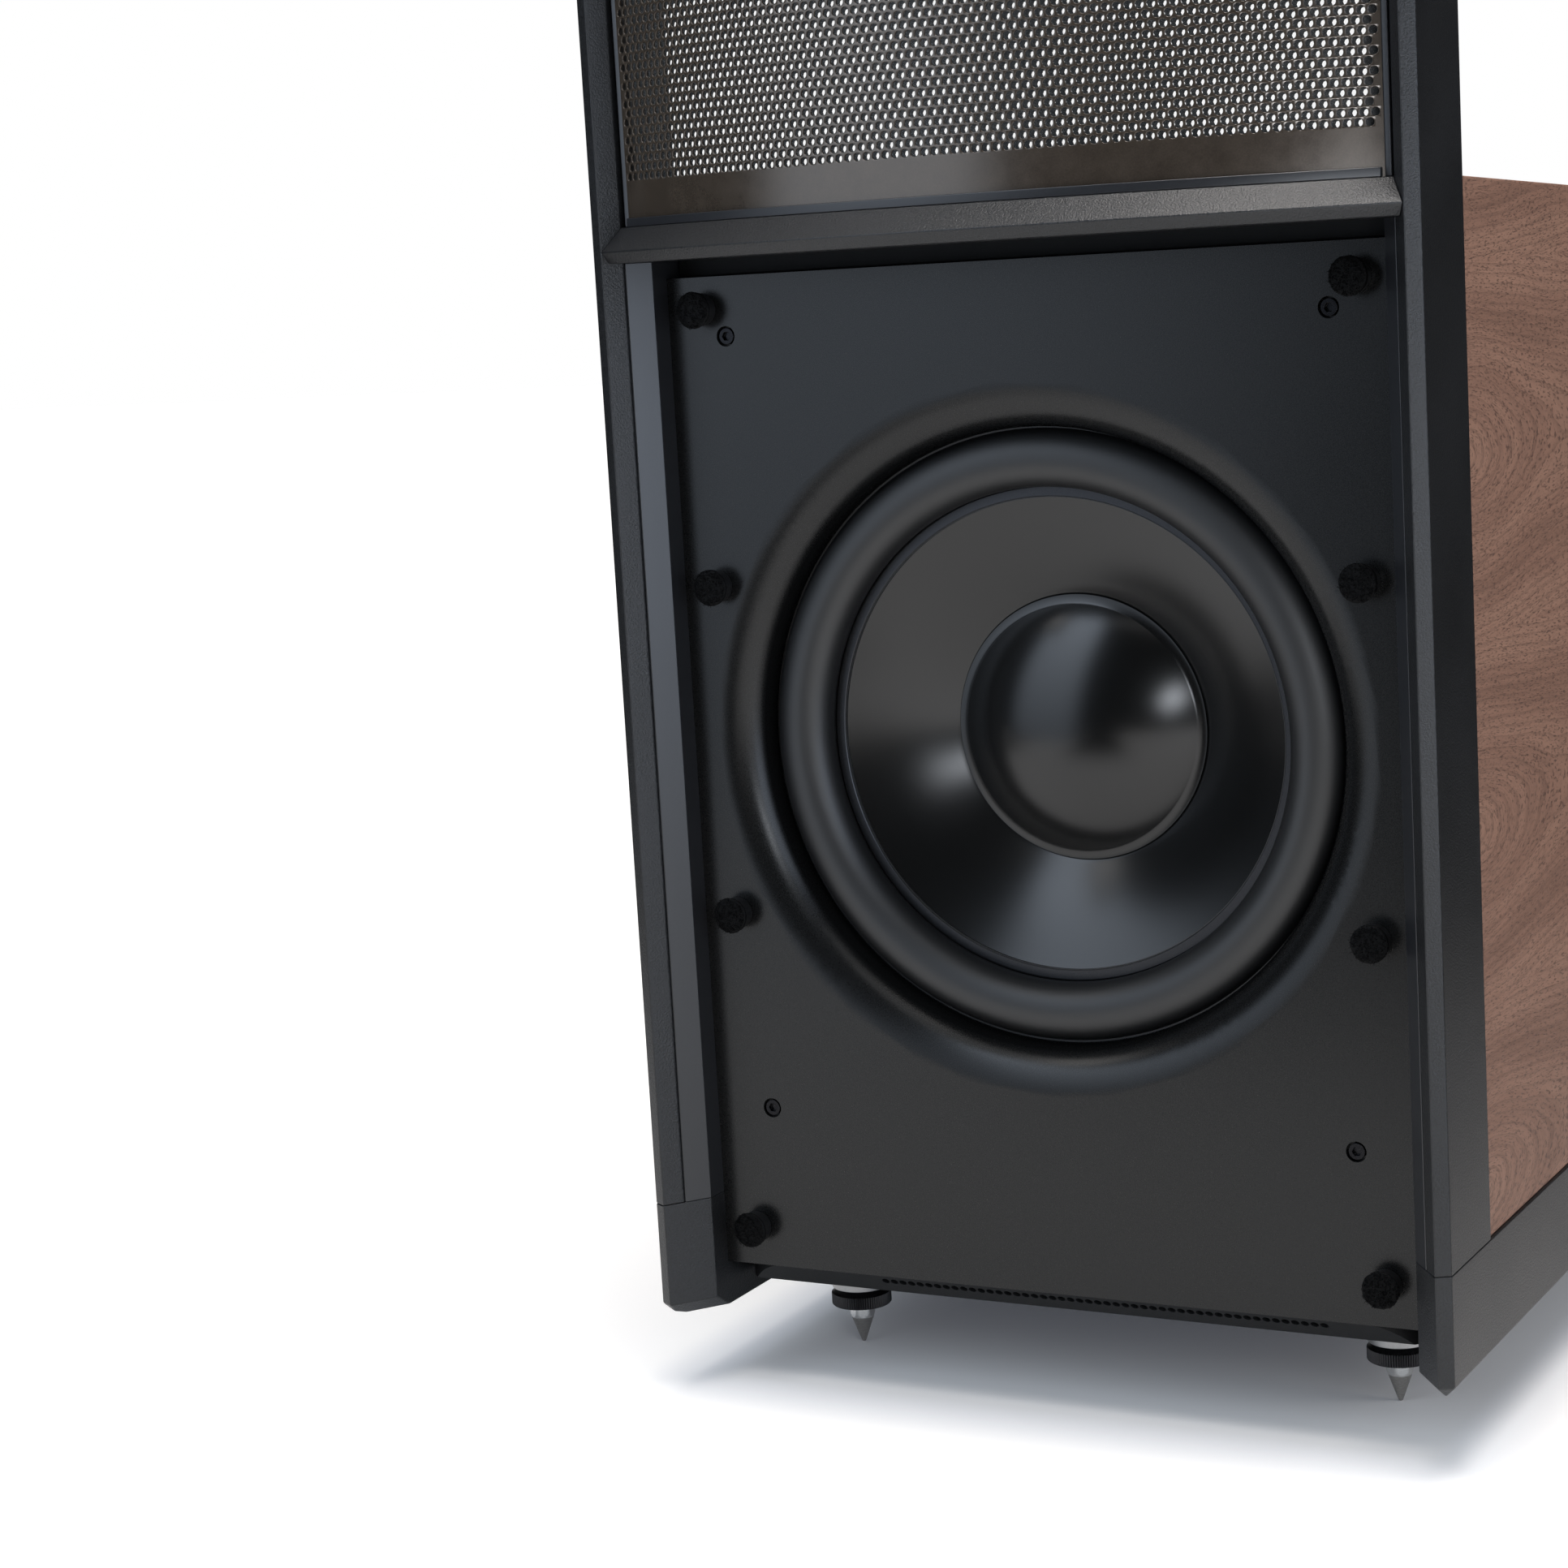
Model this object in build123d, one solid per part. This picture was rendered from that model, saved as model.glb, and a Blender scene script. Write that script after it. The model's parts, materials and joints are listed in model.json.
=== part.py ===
"""Floor-standing hybrid loudspeaker.

A curved electrostatic panel stands in a slim metal frame above a closed bass cabinet with one
woofer at the front and one at the back, on four adjustable spikes.
Millimetres, +Z up, the front faces -Y, the floor is Z = 0 and the origin is under the middle of
the outer box. Plan positions below are measured from the ridge of the side rails (y = 0 there)
and every piece is moved into the part's frame when it is written.
"""
import math
import os

from build123d import *

# Overall size
WIDTH = 418.0
HEIGHT = 1781.0
DEPTH = 711.0

# Side rails: plan section with an outer facet, a ridge and an inner bevel
RAIL_WIDTH = 13.4
RAIL_DEPTH = 64.8
RIDGE_INSET = 6.7
FACET_DEPTH = 3.8
BEVEL_DEPTH = 9.0

# Plinth, base and the woofer bay between the rails
BAY_WALL_INSET = 22.5
PLINTH_BOTTOM = 39.0
PLINTH_TOP = 99.3
PLINTH_CHAMFER = 7.5
BASE_BOTTOM = 50.5
BASE_TOP = 61.8
BASE_LIP_RUN = 9.9
BASE_LIP_SETBACK = 2.0
BASE_CORNER = 34.0
TRIM_GROOVE = 1.0
VENT_PITCH = 4.85
VENT_DIAMETER = 4.2
VENT_DEPTH = 2.5
VENT_ROW_LENGTH = 238.0
VENT_ROW_X = 18.0
VENT_DROP = 4.2

# Bowed bars under and over the panel
BAR_LOW = 573.3
BAR_FACET_HEIGHT = 5.8
BAR_BEVEL_HEIGHT = 11.4
BAR_DEPTH = 32.0
RETAINER_HEIGHT = 4.3
RETAINER_GAP = 0.3

# Electrostatic panel: a stack of sheets bent to one centre
PANEL_HALF_ANGLE = 28.5
PANEL_EDGE_Y = 9.7
STATOR_THICKNESS = 1.6
SPACER_THICKNESS = 2.0
FILM_THICKNESS = 0.4
LAYER_GAP = 0.6
SPACER_STRIP = 12.0
SPACER_BAYS = 6
SEAL_WIDTH = 5.0
SEAL_NOSE_WIDTH = 3.5
SEAL_NOSE_DEPTH = 6.0
SEAL_SETBACK = 1.0
SEAL_DEPTH = 16.0

# Bass cabinet
BAFFLE_Y = 34.5
BAFFLE_THICKNESS = 22.0
BAFFLE_TOP = 564.6
HEADER_SETBACK = 12.0
SIDE_TOP = 590.0
SIDE_RECESS = 1.0
TOP_FALL = 1.7
TOP_THICKNESS = 18.0
DIVIDER_Y = 330.0
DIVIDER_THICKNESS = 18.0

# Grille posts and baffle screws
POST_INSET = 18.9
POST_HEIGHTS = (82.3, 246.4, 412.1, 548.7)
POST_DIAMETER = 16.0
POST_LENGTH = 8.0
PAD_THICKNESS = 2.0
SCREW_INSET = 31.5
SCREW_HEIGHTS = (145.4, 535.2)
SCREW_HEAD_DIAMETER = 8.0
SCREW_HEAD_HEIGHT = 4.0
SCREW_SHANK_DIAMETER = 4.0
SCREW_LENGTH = 15.0
SCREW_SOCKET = 4.0
COUNTERBORE_DIAMETER = 10.0
COUNTERBORE_DEPTH = 4.6
SCREW_CLEARANCE = 0.1
SCREW_END_GAP = 1.0

# Woofers: radii step in from the bay's wall, and depths run behind the outer face of the baffle
WOOFER_Z = 334.6
LIP_MARGIN = 12.5
LIP_WIDTH = 23.3
LIP_DEPTH = 19.5
SURROUND_THICKNESS = 1.2
SURROUND_OVERLAP = 6.3
ROLL_INSET = 15.7
ROLL_DROP = 3.5
ROLL_RADIUS = 13.6
RIM_INSET = 14.0
RIM_DEPTH = 31.7
RIM_WIDTH = 5.0
CONE_THICKNESS = 1.2
CONE_BREAK_RADIUS = 66.0
CONE_BREAK_DEPTH = 59.5
CONE_FLARE = -4.0
NECK_DEPTH = 72.0
CAP_RADIUS = 62.5
CAP_RISE = 20.0
CAP_THICKNESS = 1.0
CAP_RING_WIDTH = 3.5
COIL_RADIUS = 38.0
COIL_THICKNESS = 1.0
COIL_LENGTH = 48.0
COIL_PROUD = 2.0
COIL_GAP = 0.6
SPIDER_INSET = 6.0
SPIDER_THICKNESS = 0.8
SPIDER_WAVES = 5
SPIDER_WAVE_HEIGHT = 3.0
FLANGE_OVERLAP = 12.3
FLANGE_THICKNESS = 6.0
FLANGE_WIDTH = 15.0
SKIRT_THICKNESS = 4.0
PAN_RADIUS = 92.0
PAN_DEPTH = 18.0
PAN_FLOOR = 5.0
LEDGE_DEPTH = 83.0
LEDGE_WIDTH = 14.0
SPOKES = 6
SPOKE_ANGLE = 16.0
PLATE_RADIUS = 78.0
PLATE_THICKNESS = 8.0
MAGNET_RADIUS = 84.0
MAGNET_BORE = 50.0
MAGNET_THICKNESS = 25.0
YOKE_THICKNESS = 10.0
POLE_VENT = 12.0
WOOFER_SCREWS = 8
WOOFER_SCREW_INSET = 2.8
WOOFER_SCREW_DIAMETER = 4.0
WOOFER_SCREW_BITE = 14.0
WOOFER_HEAD_AF = 5.4
WOOFER_HEAD_HEIGHT = 4.0

# Amplifier plate and connections at the back
AMP_PLATE_HALF_WIDTH = 150.0
AMP_PLATE_LOW = 70.0
AMP_PLATE_HIGH = 166.0
AMP_PLATE_THICKNESS = 3.0
AMP_BORDER = 12.0
FIN_COUNT = 12
FIN_PITCH = 9.0
FIN_THICKNESS = 2.6
FIN_DEPTH = 18.0
FIN_FOOT = 4.0
FIN_MARGIN = 8.0
POST_PITCH = 19.0
BINDING_X = -110.0
BINDING_Z = 118.0
BINDING_COLLAR_RADIUS = 8.5
BINDING_COLLAR_LENGTH = 3.5
STUD_RADIUS = 3.2
STUD_LENGTH = 14.0
SOCKET_DIAMETER = 4.0
SOCKET_DEPTH = 12.0
BINDING_CAP_RADIUS = 7.5
BINDING_CAP_LENGTH = 10.0
BINDING_FLUTES = 10
FLUTE_DIAMETER = 2.0
TURN_CLEARANCE = 0.35
KNOB_X = 86.0
KNOB_Z = 140.0
KNOB_RADIUS = 9.0
KNOB_LENGTH = 13.0
KNOB_TAPER = 1.0
KNOB_SHAFT_RADIUS = 3.0
KNOB_SHAFT_LENGTH = 8.0
INLET_X = 115.0
INLET_Z = 96.0
INLET_WIDTH = 28.0
INLET_HEIGHT = 22.0
INLET_FLANGE = 3.0
INLET_WALL = 2.0
INLET_DEPTH = 18.0
BOARD_STANDOFF = 10.0
BOARD_THICKNESS = 1.6
BOARD_MARGIN = 6.0
STANDOFF_RADIUS = 3.0

# Panel electronics on the cabinet floor
TRANSFORMER_X = -80.0
TRANSFORMER_Y = 240.0
CORE_WIDTH = 96.0
CORE_HEIGHT = 80.0
CORE_STACK = 40.0
CORE_LIMB = 16.0
WINDING_OVERHANG = 14.0
BIAS_X = 80.0
BIAS_Y = 240.0
BIAS_WIDTH = 110.0
BIAS_DEPTH = 80.0
BIAS_STANDOFF = 8.0

# Spikes, lock rings and the bosses that they screw into
SPIKE_INSET = 38.2
SPIKE_FRONT_SETBACK = 72.5
SPIKE_REAR_SETBACK = 72.0
BOSS_RADIUS = 15.2
BOSS_HEIGHT = 19.5
RING_RADIUS = 15.85
RING_THICKNESS = 9.1
RING_GAP = 0.3
RING_KNURLS = 36
KNURL_DEPTH = 0.8
SPIKE_HEX = 12.0
SPIKE_HEX_HEIGHT = 8.0
SPIKE_TIP_RADIUS = 2.3
SPIKE_SHANK_RADIUS = 5.0
SPIKE_SHANK_TOP = 59.0
SPIKE_STOP_GAP = 0.3

# Values that follow from the sizes above
HALF = WIDTH / 2
RAIL_INNER = HALF - RAIL_WIDTH
RIDGE_X = HALF - RIDGE_INSET
BAY_HALF = HALF - BAY_WALL_INSET
BAY_BEVEL_DEPTH = (RIDGE_X - BAY_HALF) * BEVEL_DEPTH / (RIDGE_X - RAIL_INNER)
PANEL_HALF = RAIL_INNER - SEAL_WIDTH
PANEL_AXIS_Y = PANEL_EDGE_Y + PANEL_HALF / math.tan(math.radians(PANEL_HALF_ANGLE))
STATOR_RADIUS = math.hypot(PANEL_HALF, PANEL_AXIS_Y - PANEL_EDGE_Y)
RIDGE_RADIUS = math.hypot(RIDGE_X, PANEL_AXIS_Y)
BEVEL_RADIUS = math.hypot(RAIL_INNER, PANEL_AXIS_Y - BEVEL_DEPTH)
FRONT_BOW = RIDGE_RADIUS - PANEL_AXIS_Y
BAR_TOP = BAR_LOW + BAR_FACET_HEIGHT + BAR_BEVEL_HEIGHT
PANEL_TOP = HEIGHT - BAR_FACET_HEIGHT - BAR_BEVEL_HEIGHT
REAR = DEPTH - FRONT_BOW
CABINET_BACK = REAR - AMP_PLATE_THICKNESS - FIN_DEPTH
BAFFLE_BACK = BAFFLE_Y + BAFFLE_THICKNESS
HEADER_Y = BAFFLE_Y + HEADER_SETBACK
SCREW_HOLE_DEPTH = COUNTERBORE_DEPTH + SCREW_LENGTH + SCREW_END_GAP
SIDE_OUTER = HALF - SIDE_RECESS
POST_X = BAY_HALF - POST_INSET
SCREW_X = BAY_HALF - SCREW_INSET
LIP_RADIUS = BAY_HALF - LIP_MARGIN
MOUTH_RADIUS = LIP_RADIUS - LIP_WIDTH
SURROUND_OUTER = MOUTH_RADIUS + SURROUND_OVERLAP
FLANGE_RADIUS = MOUTH_RADIUS + FLANGE_OVERLAP
WOOFER_SCREW_RADIUS = FLANGE_RADIUS - WOOFER_SCREW_INSET
ROLL_CENTRE = MOUTH_RADIUS - ROLL_INSET
RIM_RADIUS = ROLL_CENTRE - RIM_INSET
SPIDER_OUTER = PAN_RADIUS - SPIDER_INSET
SPIKE_X = BAY_HALF - SPIKE_INSET
SPIKE_FRONT_Y = BAFFLE_Y + SPIKE_FRONT_SETBACK
SPIKE_REAR_Y = CABINET_BACK - SPIKE_REAR_SETBACK
PART_SHIFT = Pos(0, FRONT_BOW - DEPTH / 2, 0)
REACH = WIDTH + DEPTH + HEIGHT


def slab(x0, x1, y0, y1, z0, z1):
    """A box between two opposite corners."""
    middle = Pos((x0 + x1) / 2, (y0 + y1) / 2, (z0 + z1) / 2)
    return middle * Box(x1 - x0, y1 - y0, z1 - z0)


def plan_prism(points, z0, z1):
    """A plan outline carried up from z0 to z1."""
    outline = Pos(0, 0, z0) * make_face(Polyline(*points, close=True))
    return extrude(outline, amount=z1 - z0, dir=(0, 0, 1))


def side_prism(points, x0, x1):
    """A side-view outline of (y, z) points carried across from x0 to x1."""
    outline = Pos(x0, 0, 0) * (Plane.YZ * make_face(Polyline(*points, close=True)))
    return extrude(outline, amount=x1 - x0, dir=(1, 0, 0))


def turned(points):
    """A section of (radius, z) points turned about the Z axis."""
    return revolve(Plane.XZ * make_face(Polyline(*points, close=True)), Axis.Z)


def tube(inner, outer, z0, z1):
    """A ring with square edges about the Z axis."""
    return turned([(inner, z0), (outer, z0), (outer, z1), (inner, z1)])


def rod(radius, z0, z1):
    """A plain cylinder about the Z axis."""
    return Pos(0, 0, (z0 + z1) / 2) * Cylinder(radius, z1 - z0)


def bowed(points, half_width):
    """A section of (radius, z) points bent about the panel's upright axis and cut square in plan."""
    ring = Pos(0, PANEL_AXIS_Y, 0) * turned(points)
    front = slab(-half_width, half_width, -DEPTH, PANEL_AXIS_Y, 0, REACH)
    return ring & front


def mirrored(piece):
    """The same piece on the other side of the part."""
    return mirror(piece, about=Plane.YZ)


def top_height(y):
    """Height of the sloping cabinet top at a depth y."""
    return SIDE_TOP - (y - RAIL_DEPTH) * math.tan(math.radians(TOP_FALL))


def rail():
    """Right side rail, full height above the plinth."""
    section = [
        (HALF, RAIL_DEPTH),
        (HALF, FACET_DEPTH),
        (RIDGE_X, 0),
        (RAIL_INNER, BEVEL_DEPTH),
        (RAIL_INNER, RAIL_DEPTH),
    ]
    return plan_prism(section, PLINTH_TOP, HEIGHT)


def bay_trim():
    """Right strip that carries the rail's bevel into the woofer bay."""
    slope = (RIDGE_X - RAIL_INNER) / BEVEL_DEPTH
    section = [
        (RAIL_INNER, BEVEL_DEPTH + TRIM_GROOVE),
        (RAIL_INNER - TRIM_GROOVE * slope, BEVEL_DEPTH + TRIM_GROOVE),
        (BAY_HALF, BAY_BEVEL_DEPTH),
        (BAY_HALF, BAFFLE_BACK),
        (RAIL_INNER, BAFFLE_BACK),
    ]
    return plan_prism(section, PLINTH_TOP, BAR_LOW)


def plinth():
    """Right plinth moulding with its toe at the front and chamfered lower edges."""
    section = [
        (HALF, CABINET_BACK),
        (HALF, FACET_DEPTH),
        (RIDGE_X, 0),
        (BAY_HALF, BAY_BEVEL_DEPTH),
        (BAY_HALF, CABINET_BACK),
    ]
    body = plan_prism(section, PLINTH_BOTTOM, PLINTH_TOP)
    for start, end in zip(section[:3], section[1:4]):
        run = Vector(end[0] - start[0], end[1] - start[1], 0).normalized()
        slope = Plane(origin=(*start, PLINTH_BOTTOM + PLINTH_CHAMFER), z_dir=(run.Y, -run.X, 1))
        body = split(body, bisect_by=slope, keep=Keep.TOP)
    return body


def bar(outer, inner, ridge, back_radius):
    """A bowed bar between the rails: its facet ends at the outer height, its bevel at the inner one."""
    section = [
        (back_radius, outer),
        (RIDGE_RADIUS - FACET_DEPTH, outer),
        (RIDGE_RADIUS, ridge),
        (BEVEL_RADIUS, inner),
        (back_radius, inner),
    ]
    whole = bowed(section, RIDGE_X)
    right = rail()
    return whole - right - mirrored(right)


def cross_bar():
    """Bar under the panel, which is also the bay's ceiling back to the header."""
    whole = bar(BAR_LOW, BAR_TOP, BAR_LOW + BAR_FACET_HEIGHT, PANEL_AXIS_Y - HEADER_Y)
    return whole & slab(-HALF, HALF, -DEPTH, HEADER_Y, BAR_LOW, BAR_TOP)


def top_bar():
    """Bar over the panel, flush with the ends of the rails."""
    return bar(HEIGHT, PANEL_TOP, HEIGHT - BAR_FACET_HEIGHT, RIDGE_RADIUS - BAR_DEPTH)


def sheet(front_radius, thickness, low=BAR_TOP, high=PANEL_TOP):
    """One bent layer of the panel, as high as the panel unless it says otherwise."""
    back_radius = front_radius - thickness
    section = [
        (front_radius, low),
        (front_radius, high),
        (back_radius, high),
        (back_radius, low),
    ]
    return bowed(section, PANEL_HALF)


def spacer_strips(front_radius):
    """Bent strips across the panel that hold the film off a stator."""
    pitch = (PANEL_TOP - BAR_TOP - SPACER_STRIP) / SPACER_BAYS
    lows = [BAR_TOP + bay * pitch for bay in range(SPACER_BAYS + 1)]
    return [sheet(front_radius, SPACER_THICKNESS, low, low + SPACER_STRIP) for low in lows]


def panel_layers():
    """The panel stack from the front stator to the rear one, with its retainers and edge seals."""
    front_spacer = STATOR_RADIUS - STATOR_THICKNESS - LAYER_GAP
    film = front_spacer - SPACER_THICKNESS - LAYER_GAP
    rear_spacer = film - FILM_THICKNESS - LAYER_GAP
    rear_stator = rear_spacer - SPACER_THICKNESS - LAYER_GAP
    return {
        "front_stator": sheet(STATOR_RADIUS, STATOR_THICKNESS),
        "panel_spacers": Compound(children=spacer_strips(front_spacer) + spacer_strips(rear_spacer)),
        "diaphragm": sheet(film, FILM_THICKNESS),
        "rear_stator": sheet(rear_stator, STATOR_THICKNESS),
        "panel_retainers": Compound(children=[
            retainer(BAR_TOP, BAR_TOP + RETAINER_HEIGHT),
            retainer(PANEL_TOP - RETAINER_HEIGHT, PANEL_TOP),
        ]),
        "panel_seals": Compound(children=[mirrored(seal()), seal()]),
    }


def retainer(low, high):
    """A thin bent strip in front of the panel's edge."""
    section = [
        (STATOR_RADIUS + RETAINER_GAP, low),
        (BEVEL_RADIUS - RETAINER_GAP, low),
        (BEVEL_RADIUS - RETAINER_GAP, high),
        (STATOR_RADIUS + RETAINER_GAP, high),
    ]
    return bowed(section, PANEL_HALF)


def seal():
    """Right edge seal: a nose beside the panel and a wider foot against the rail."""
    front = PANEL_EDGE_Y + SEAL_SETBACK
    section = [
        (PANEL_HALF, front),
        (PANEL_HALF + SEAL_NOSE_WIDTH, front),
        (PANEL_HALF + SEAL_NOSE_WIDTH, front + SEAL_NOSE_DEPTH),
        (RAIL_INNER, front + SEAL_NOSE_DEPTH),
        (RAIL_INNER, front + SEAL_DEPTH),
        (PANEL_HALF, front + SEAL_DEPTH),
    ]
    return plan_prism(section, BAR_TOP, PANEL_TOP)


def base_plate():
    """Cabinet floor with rounded front corners, a sloped lip, a row of vents and the spike holes."""
    front = BAFFLE_Y + BASE_LIP_SETBACK
    section = [
        (front, BASE_TOP),
        (front + BASE_LIP_RUN, BASE_BOTTOM),
        (CABINET_BACK, BASE_BOTTOM),
        (CABINET_BACK, BASE_TOP),
    ]
    plan = slab(-BAY_HALF, BAY_HALF, front, CABINET_BACK, BASE_BOTTOM, BASE_TOP)
    plan = fillet(plan.edges().filter_by(Axis.Z).group_by(Axis.Y)[0], BASE_CORNER)
    body = side_prism(section, -BAY_HALF, BAY_HALF) & plan
    rise = BASE_TOP - BASE_BOTTOM
    vent_y = front + BASE_LIP_RUN * VENT_DROP / rise
    vent_spot = (VENT_ROW_X, vent_y, BASE_TOP - VENT_DROP)
    lip = Plane(origin=vent_spot, x_dir=(1, 0, 0), z_dir=(0, -rise, -BASE_LIP_RUN))
    count = int(VENT_ROW_LENGTH // VENT_PITCH)
    vent = extrude(RegularPolygon(VENT_DIAMETER / 2, 10), amount=-VENT_DEPTH)
    body -= [lip * place * vent for place in GridLocations(VENT_PITCH, VENT_PITCH, count, 1)]
    for x, y in spike_places().values():
        body -= Pos(x, y, 0) * rod(spike_hole_radius(), BASE_BOTTOM, SPIKE_SHANK_TOP + SPIKE_STOP_GAP)
    return body


def mouth_cut():
    """The woofer opening in a baffle, with its rolled-over edge, in the woofer's own frame."""
    edge = LIP_RADIUS - MOUTH_RADIUS
    steps = [
        Line((0, 0), (LIP_RADIUS, 0)),
        EllipticalCenterArc((LIP_RADIUS, -LIP_DEPTH), edge, LIP_DEPTH, start_angle=90, arc_size=90),
        Line((MOUTH_RADIUS, -LIP_DEPTH), (MOUTH_RADIUS, -BAFFLE_THICKNESS)),
        Line((MOUTH_RADIUS, -BAFFLE_THICKNESS), (0, -BAFFLE_THICKNESS)),
        Line((0, -BAFFLE_THICKNESS), (0, 0)),
    ]
    return revolve(Plane.XZ * make_face(steps), Axis.Z) + pilot_holes()


def screw_places():
    """Woofer screw positions round the flange."""
    return PolarLocations(WOOFER_SCREW_RADIUS, WOOFER_SCREWS, start_angle=180 / WOOFER_SCREWS)


def pilot_holes():
    """Screw holes that reach into the back of the baffle."""
    radius = WOOFER_SCREW_DIAMETER / 2 + SCREW_CLEARANCE
    hole = rod(radius, -BAFFLE_THICKNESS, WOOFER_SCREW_BITE - BAFFLE_THICKNESS)
    return Compound(children=[place * hole for place in screw_places()])


def front_baffle():
    """Front baffle with the woofer mouth and counterbored screw holes."""
    body = slab(-BAY_HALF, BAY_HALF, BAFFLE_Y, BAFFLE_BACK, BASE_TOP, BAFFLE_TOP)
    body -= front_woofer_plane() * mouth_cut()
    for place in baffle_screw_places():
        body -= place * rod(COUNTERBORE_DIAMETER / 2, -COUNTERBORE_DEPTH, 0)
        body -= place * rod(SCREW_SHANK_DIAMETER / 2 + SCREW_CLEARANCE, -SCREW_HOLE_DEPTH, 0)
    return body


def baffle_screw_places():
    """Planes on the baffle's face that look out of it, one for each screw."""
    spots = [(x, z) for x in (-SCREW_X, SCREW_X) for z in SCREW_HEIGHTS]
    return [Plane(origin=(x, BAFFLE_Y, z), x_dir=(1, 0, 0), z_dir=(0, -1, 0)) for x, z in spots]


def baffle_screw():
    """A socket-head screw, seated in its counterbore."""
    top = SCREW_HEAD_HEIGHT - COUNTERBORE_DEPTH
    head = rod(SCREW_HEAD_DIAMETER / 2, -COUNTERBORE_DEPTH, top)
    shank = rod(SCREW_SHANK_DIAMETER / 2, -COUNTERBORE_DEPTH - SCREW_LENGTH, -COUNTERBORE_DEPTH)
    key = Pos(0, 0, top) * RegularPolygon(SCREW_SOCKET / 2, 6, major_radius=False)
    return head + shank - extrude(key, amount=-SCREW_HEAD_HEIGHT / 2)


def grille_places():
    """Planes on the baffle's face that look out of it, one for each grille post."""
    spots = [(x, z) for x in (-POST_X, POST_X) for z in POST_HEIGHTS]
    return [Plane(origin=(x, BAFFLE_Y, z), x_dir=(1, 0, 0), z_dir=(0, -1, 0)) for x, z in spots]


def cabinet():
    """The wooden box behind the rails; its top carries the header over the front baffle."""
    side = side_prism(
        [
            (RAIL_DEPTH, PLINTH_TOP),
            (CABINET_BACK, PLINTH_TOP),
            (CABINET_BACK, top_height(CABINET_BACK)),
            (RAIL_DEPTH, SIDE_TOP),
        ],
        BAY_HALF,
        SIDE_OUTER,
    )
    top = side_prism(
        [
            (RAIL_DEPTH, SIDE_TOP - TOP_THICKNESS),
            (CABINET_BACK, top_height(CABINET_BACK) - TOP_THICKNESS),
            (CABINET_BACK, top_height(CABINET_BACK)),
            (RAIL_DEPTH, SIDE_TOP),
        ],
        -BAY_HALF,
        BAY_HALF,
    )
    header = plan_prism(
        [
            (BAY_HALF, HEADER_Y),
            (BAY_HALF, BAFFLE_BACK),
            (RAIL_INNER, BAFFLE_BACK),
            (RAIL_INNER, RAIL_DEPTH),
            (-RAIL_INNER, RAIL_DEPTH),
            (-RAIL_INNER, BAFFLE_BACK),
            (-BAY_HALF, BAFFLE_BACK),
            (-BAY_HALF, HEADER_Y),
        ],
        BAFFLE_TOP,
        SIDE_TOP,
    )
    back = upright_wall(CABINET_BACK - BAFFLE_THICKNESS, CABINET_BACK)
    back -= rear_woofer_plane() * mouth_cut()
    for centre, half in amp_windows():
        back -= slab(
            centre - half,
            centre + half,
            CABINET_BACK - BAFFLE_THICKNESS,
            CABINET_BACK,
            AMP_PLATE_LOW + AMP_BORDER,
            AMP_PLATE_HIGH - AMP_BORDER,
        )
    return {
        "side_left": mirrored(side),
        "side_right": side,
        "cabinet_top": top + header,
        "rear_baffle": back,
        "cabinet_divider": upright_wall(DIVIDER_Y, DIVIDER_Y + DIVIDER_THICKNESS),
    }


def amp_windows():
    """Middle and half width of each window behind the amplifier plate."""
    controls = (KNOB_X + INLET_X) / 2
    reach = INLET_X + INLET_WIDTH / 2 + INLET_FLANGE - controls
    return [
        (BINDING_X, POST_PITCH / 2 + BINDING_COLLAR_RADIUS),
        (0, fin_half() + BOARD_MARGIN),
        (controls, reach),
    ]


def fin_half():
    """Half the width of the row of fins."""
    return ((FIN_COUNT - 1) * FIN_PITCH + FIN_THICKNESS) / 2


def upright_wall(front, back):
    """A wall across the cabinet from its floor to the underside of its sloping top."""
    section = [
        (front, BASE_TOP),
        (back, BASE_TOP),
        (back, top_height(back) - TOP_THICKNESS),
        (front, top_height(front) - TOP_THICKNESS),
    ]
    return side_prism(section, -BAY_HALF, BAY_HALF)


def front_woofer_plane():
    """Frame of the front woofer: its Z axis looks out of the front baffle."""
    return Plane(origin=(0, BAFFLE_Y, WOOFER_Z), x_dir=(1, 0, 0), z_dir=(0, -1, 0))


def rear_woofer_plane():
    """Frame of the rear woofer: its Z axis looks out of the rear baffle."""
    return Plane(origin=(0, CABINET_BACK, WOOFER_Z), x_dir=(-1, 0, 0), z_dir=(0, 1, 0))


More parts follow.
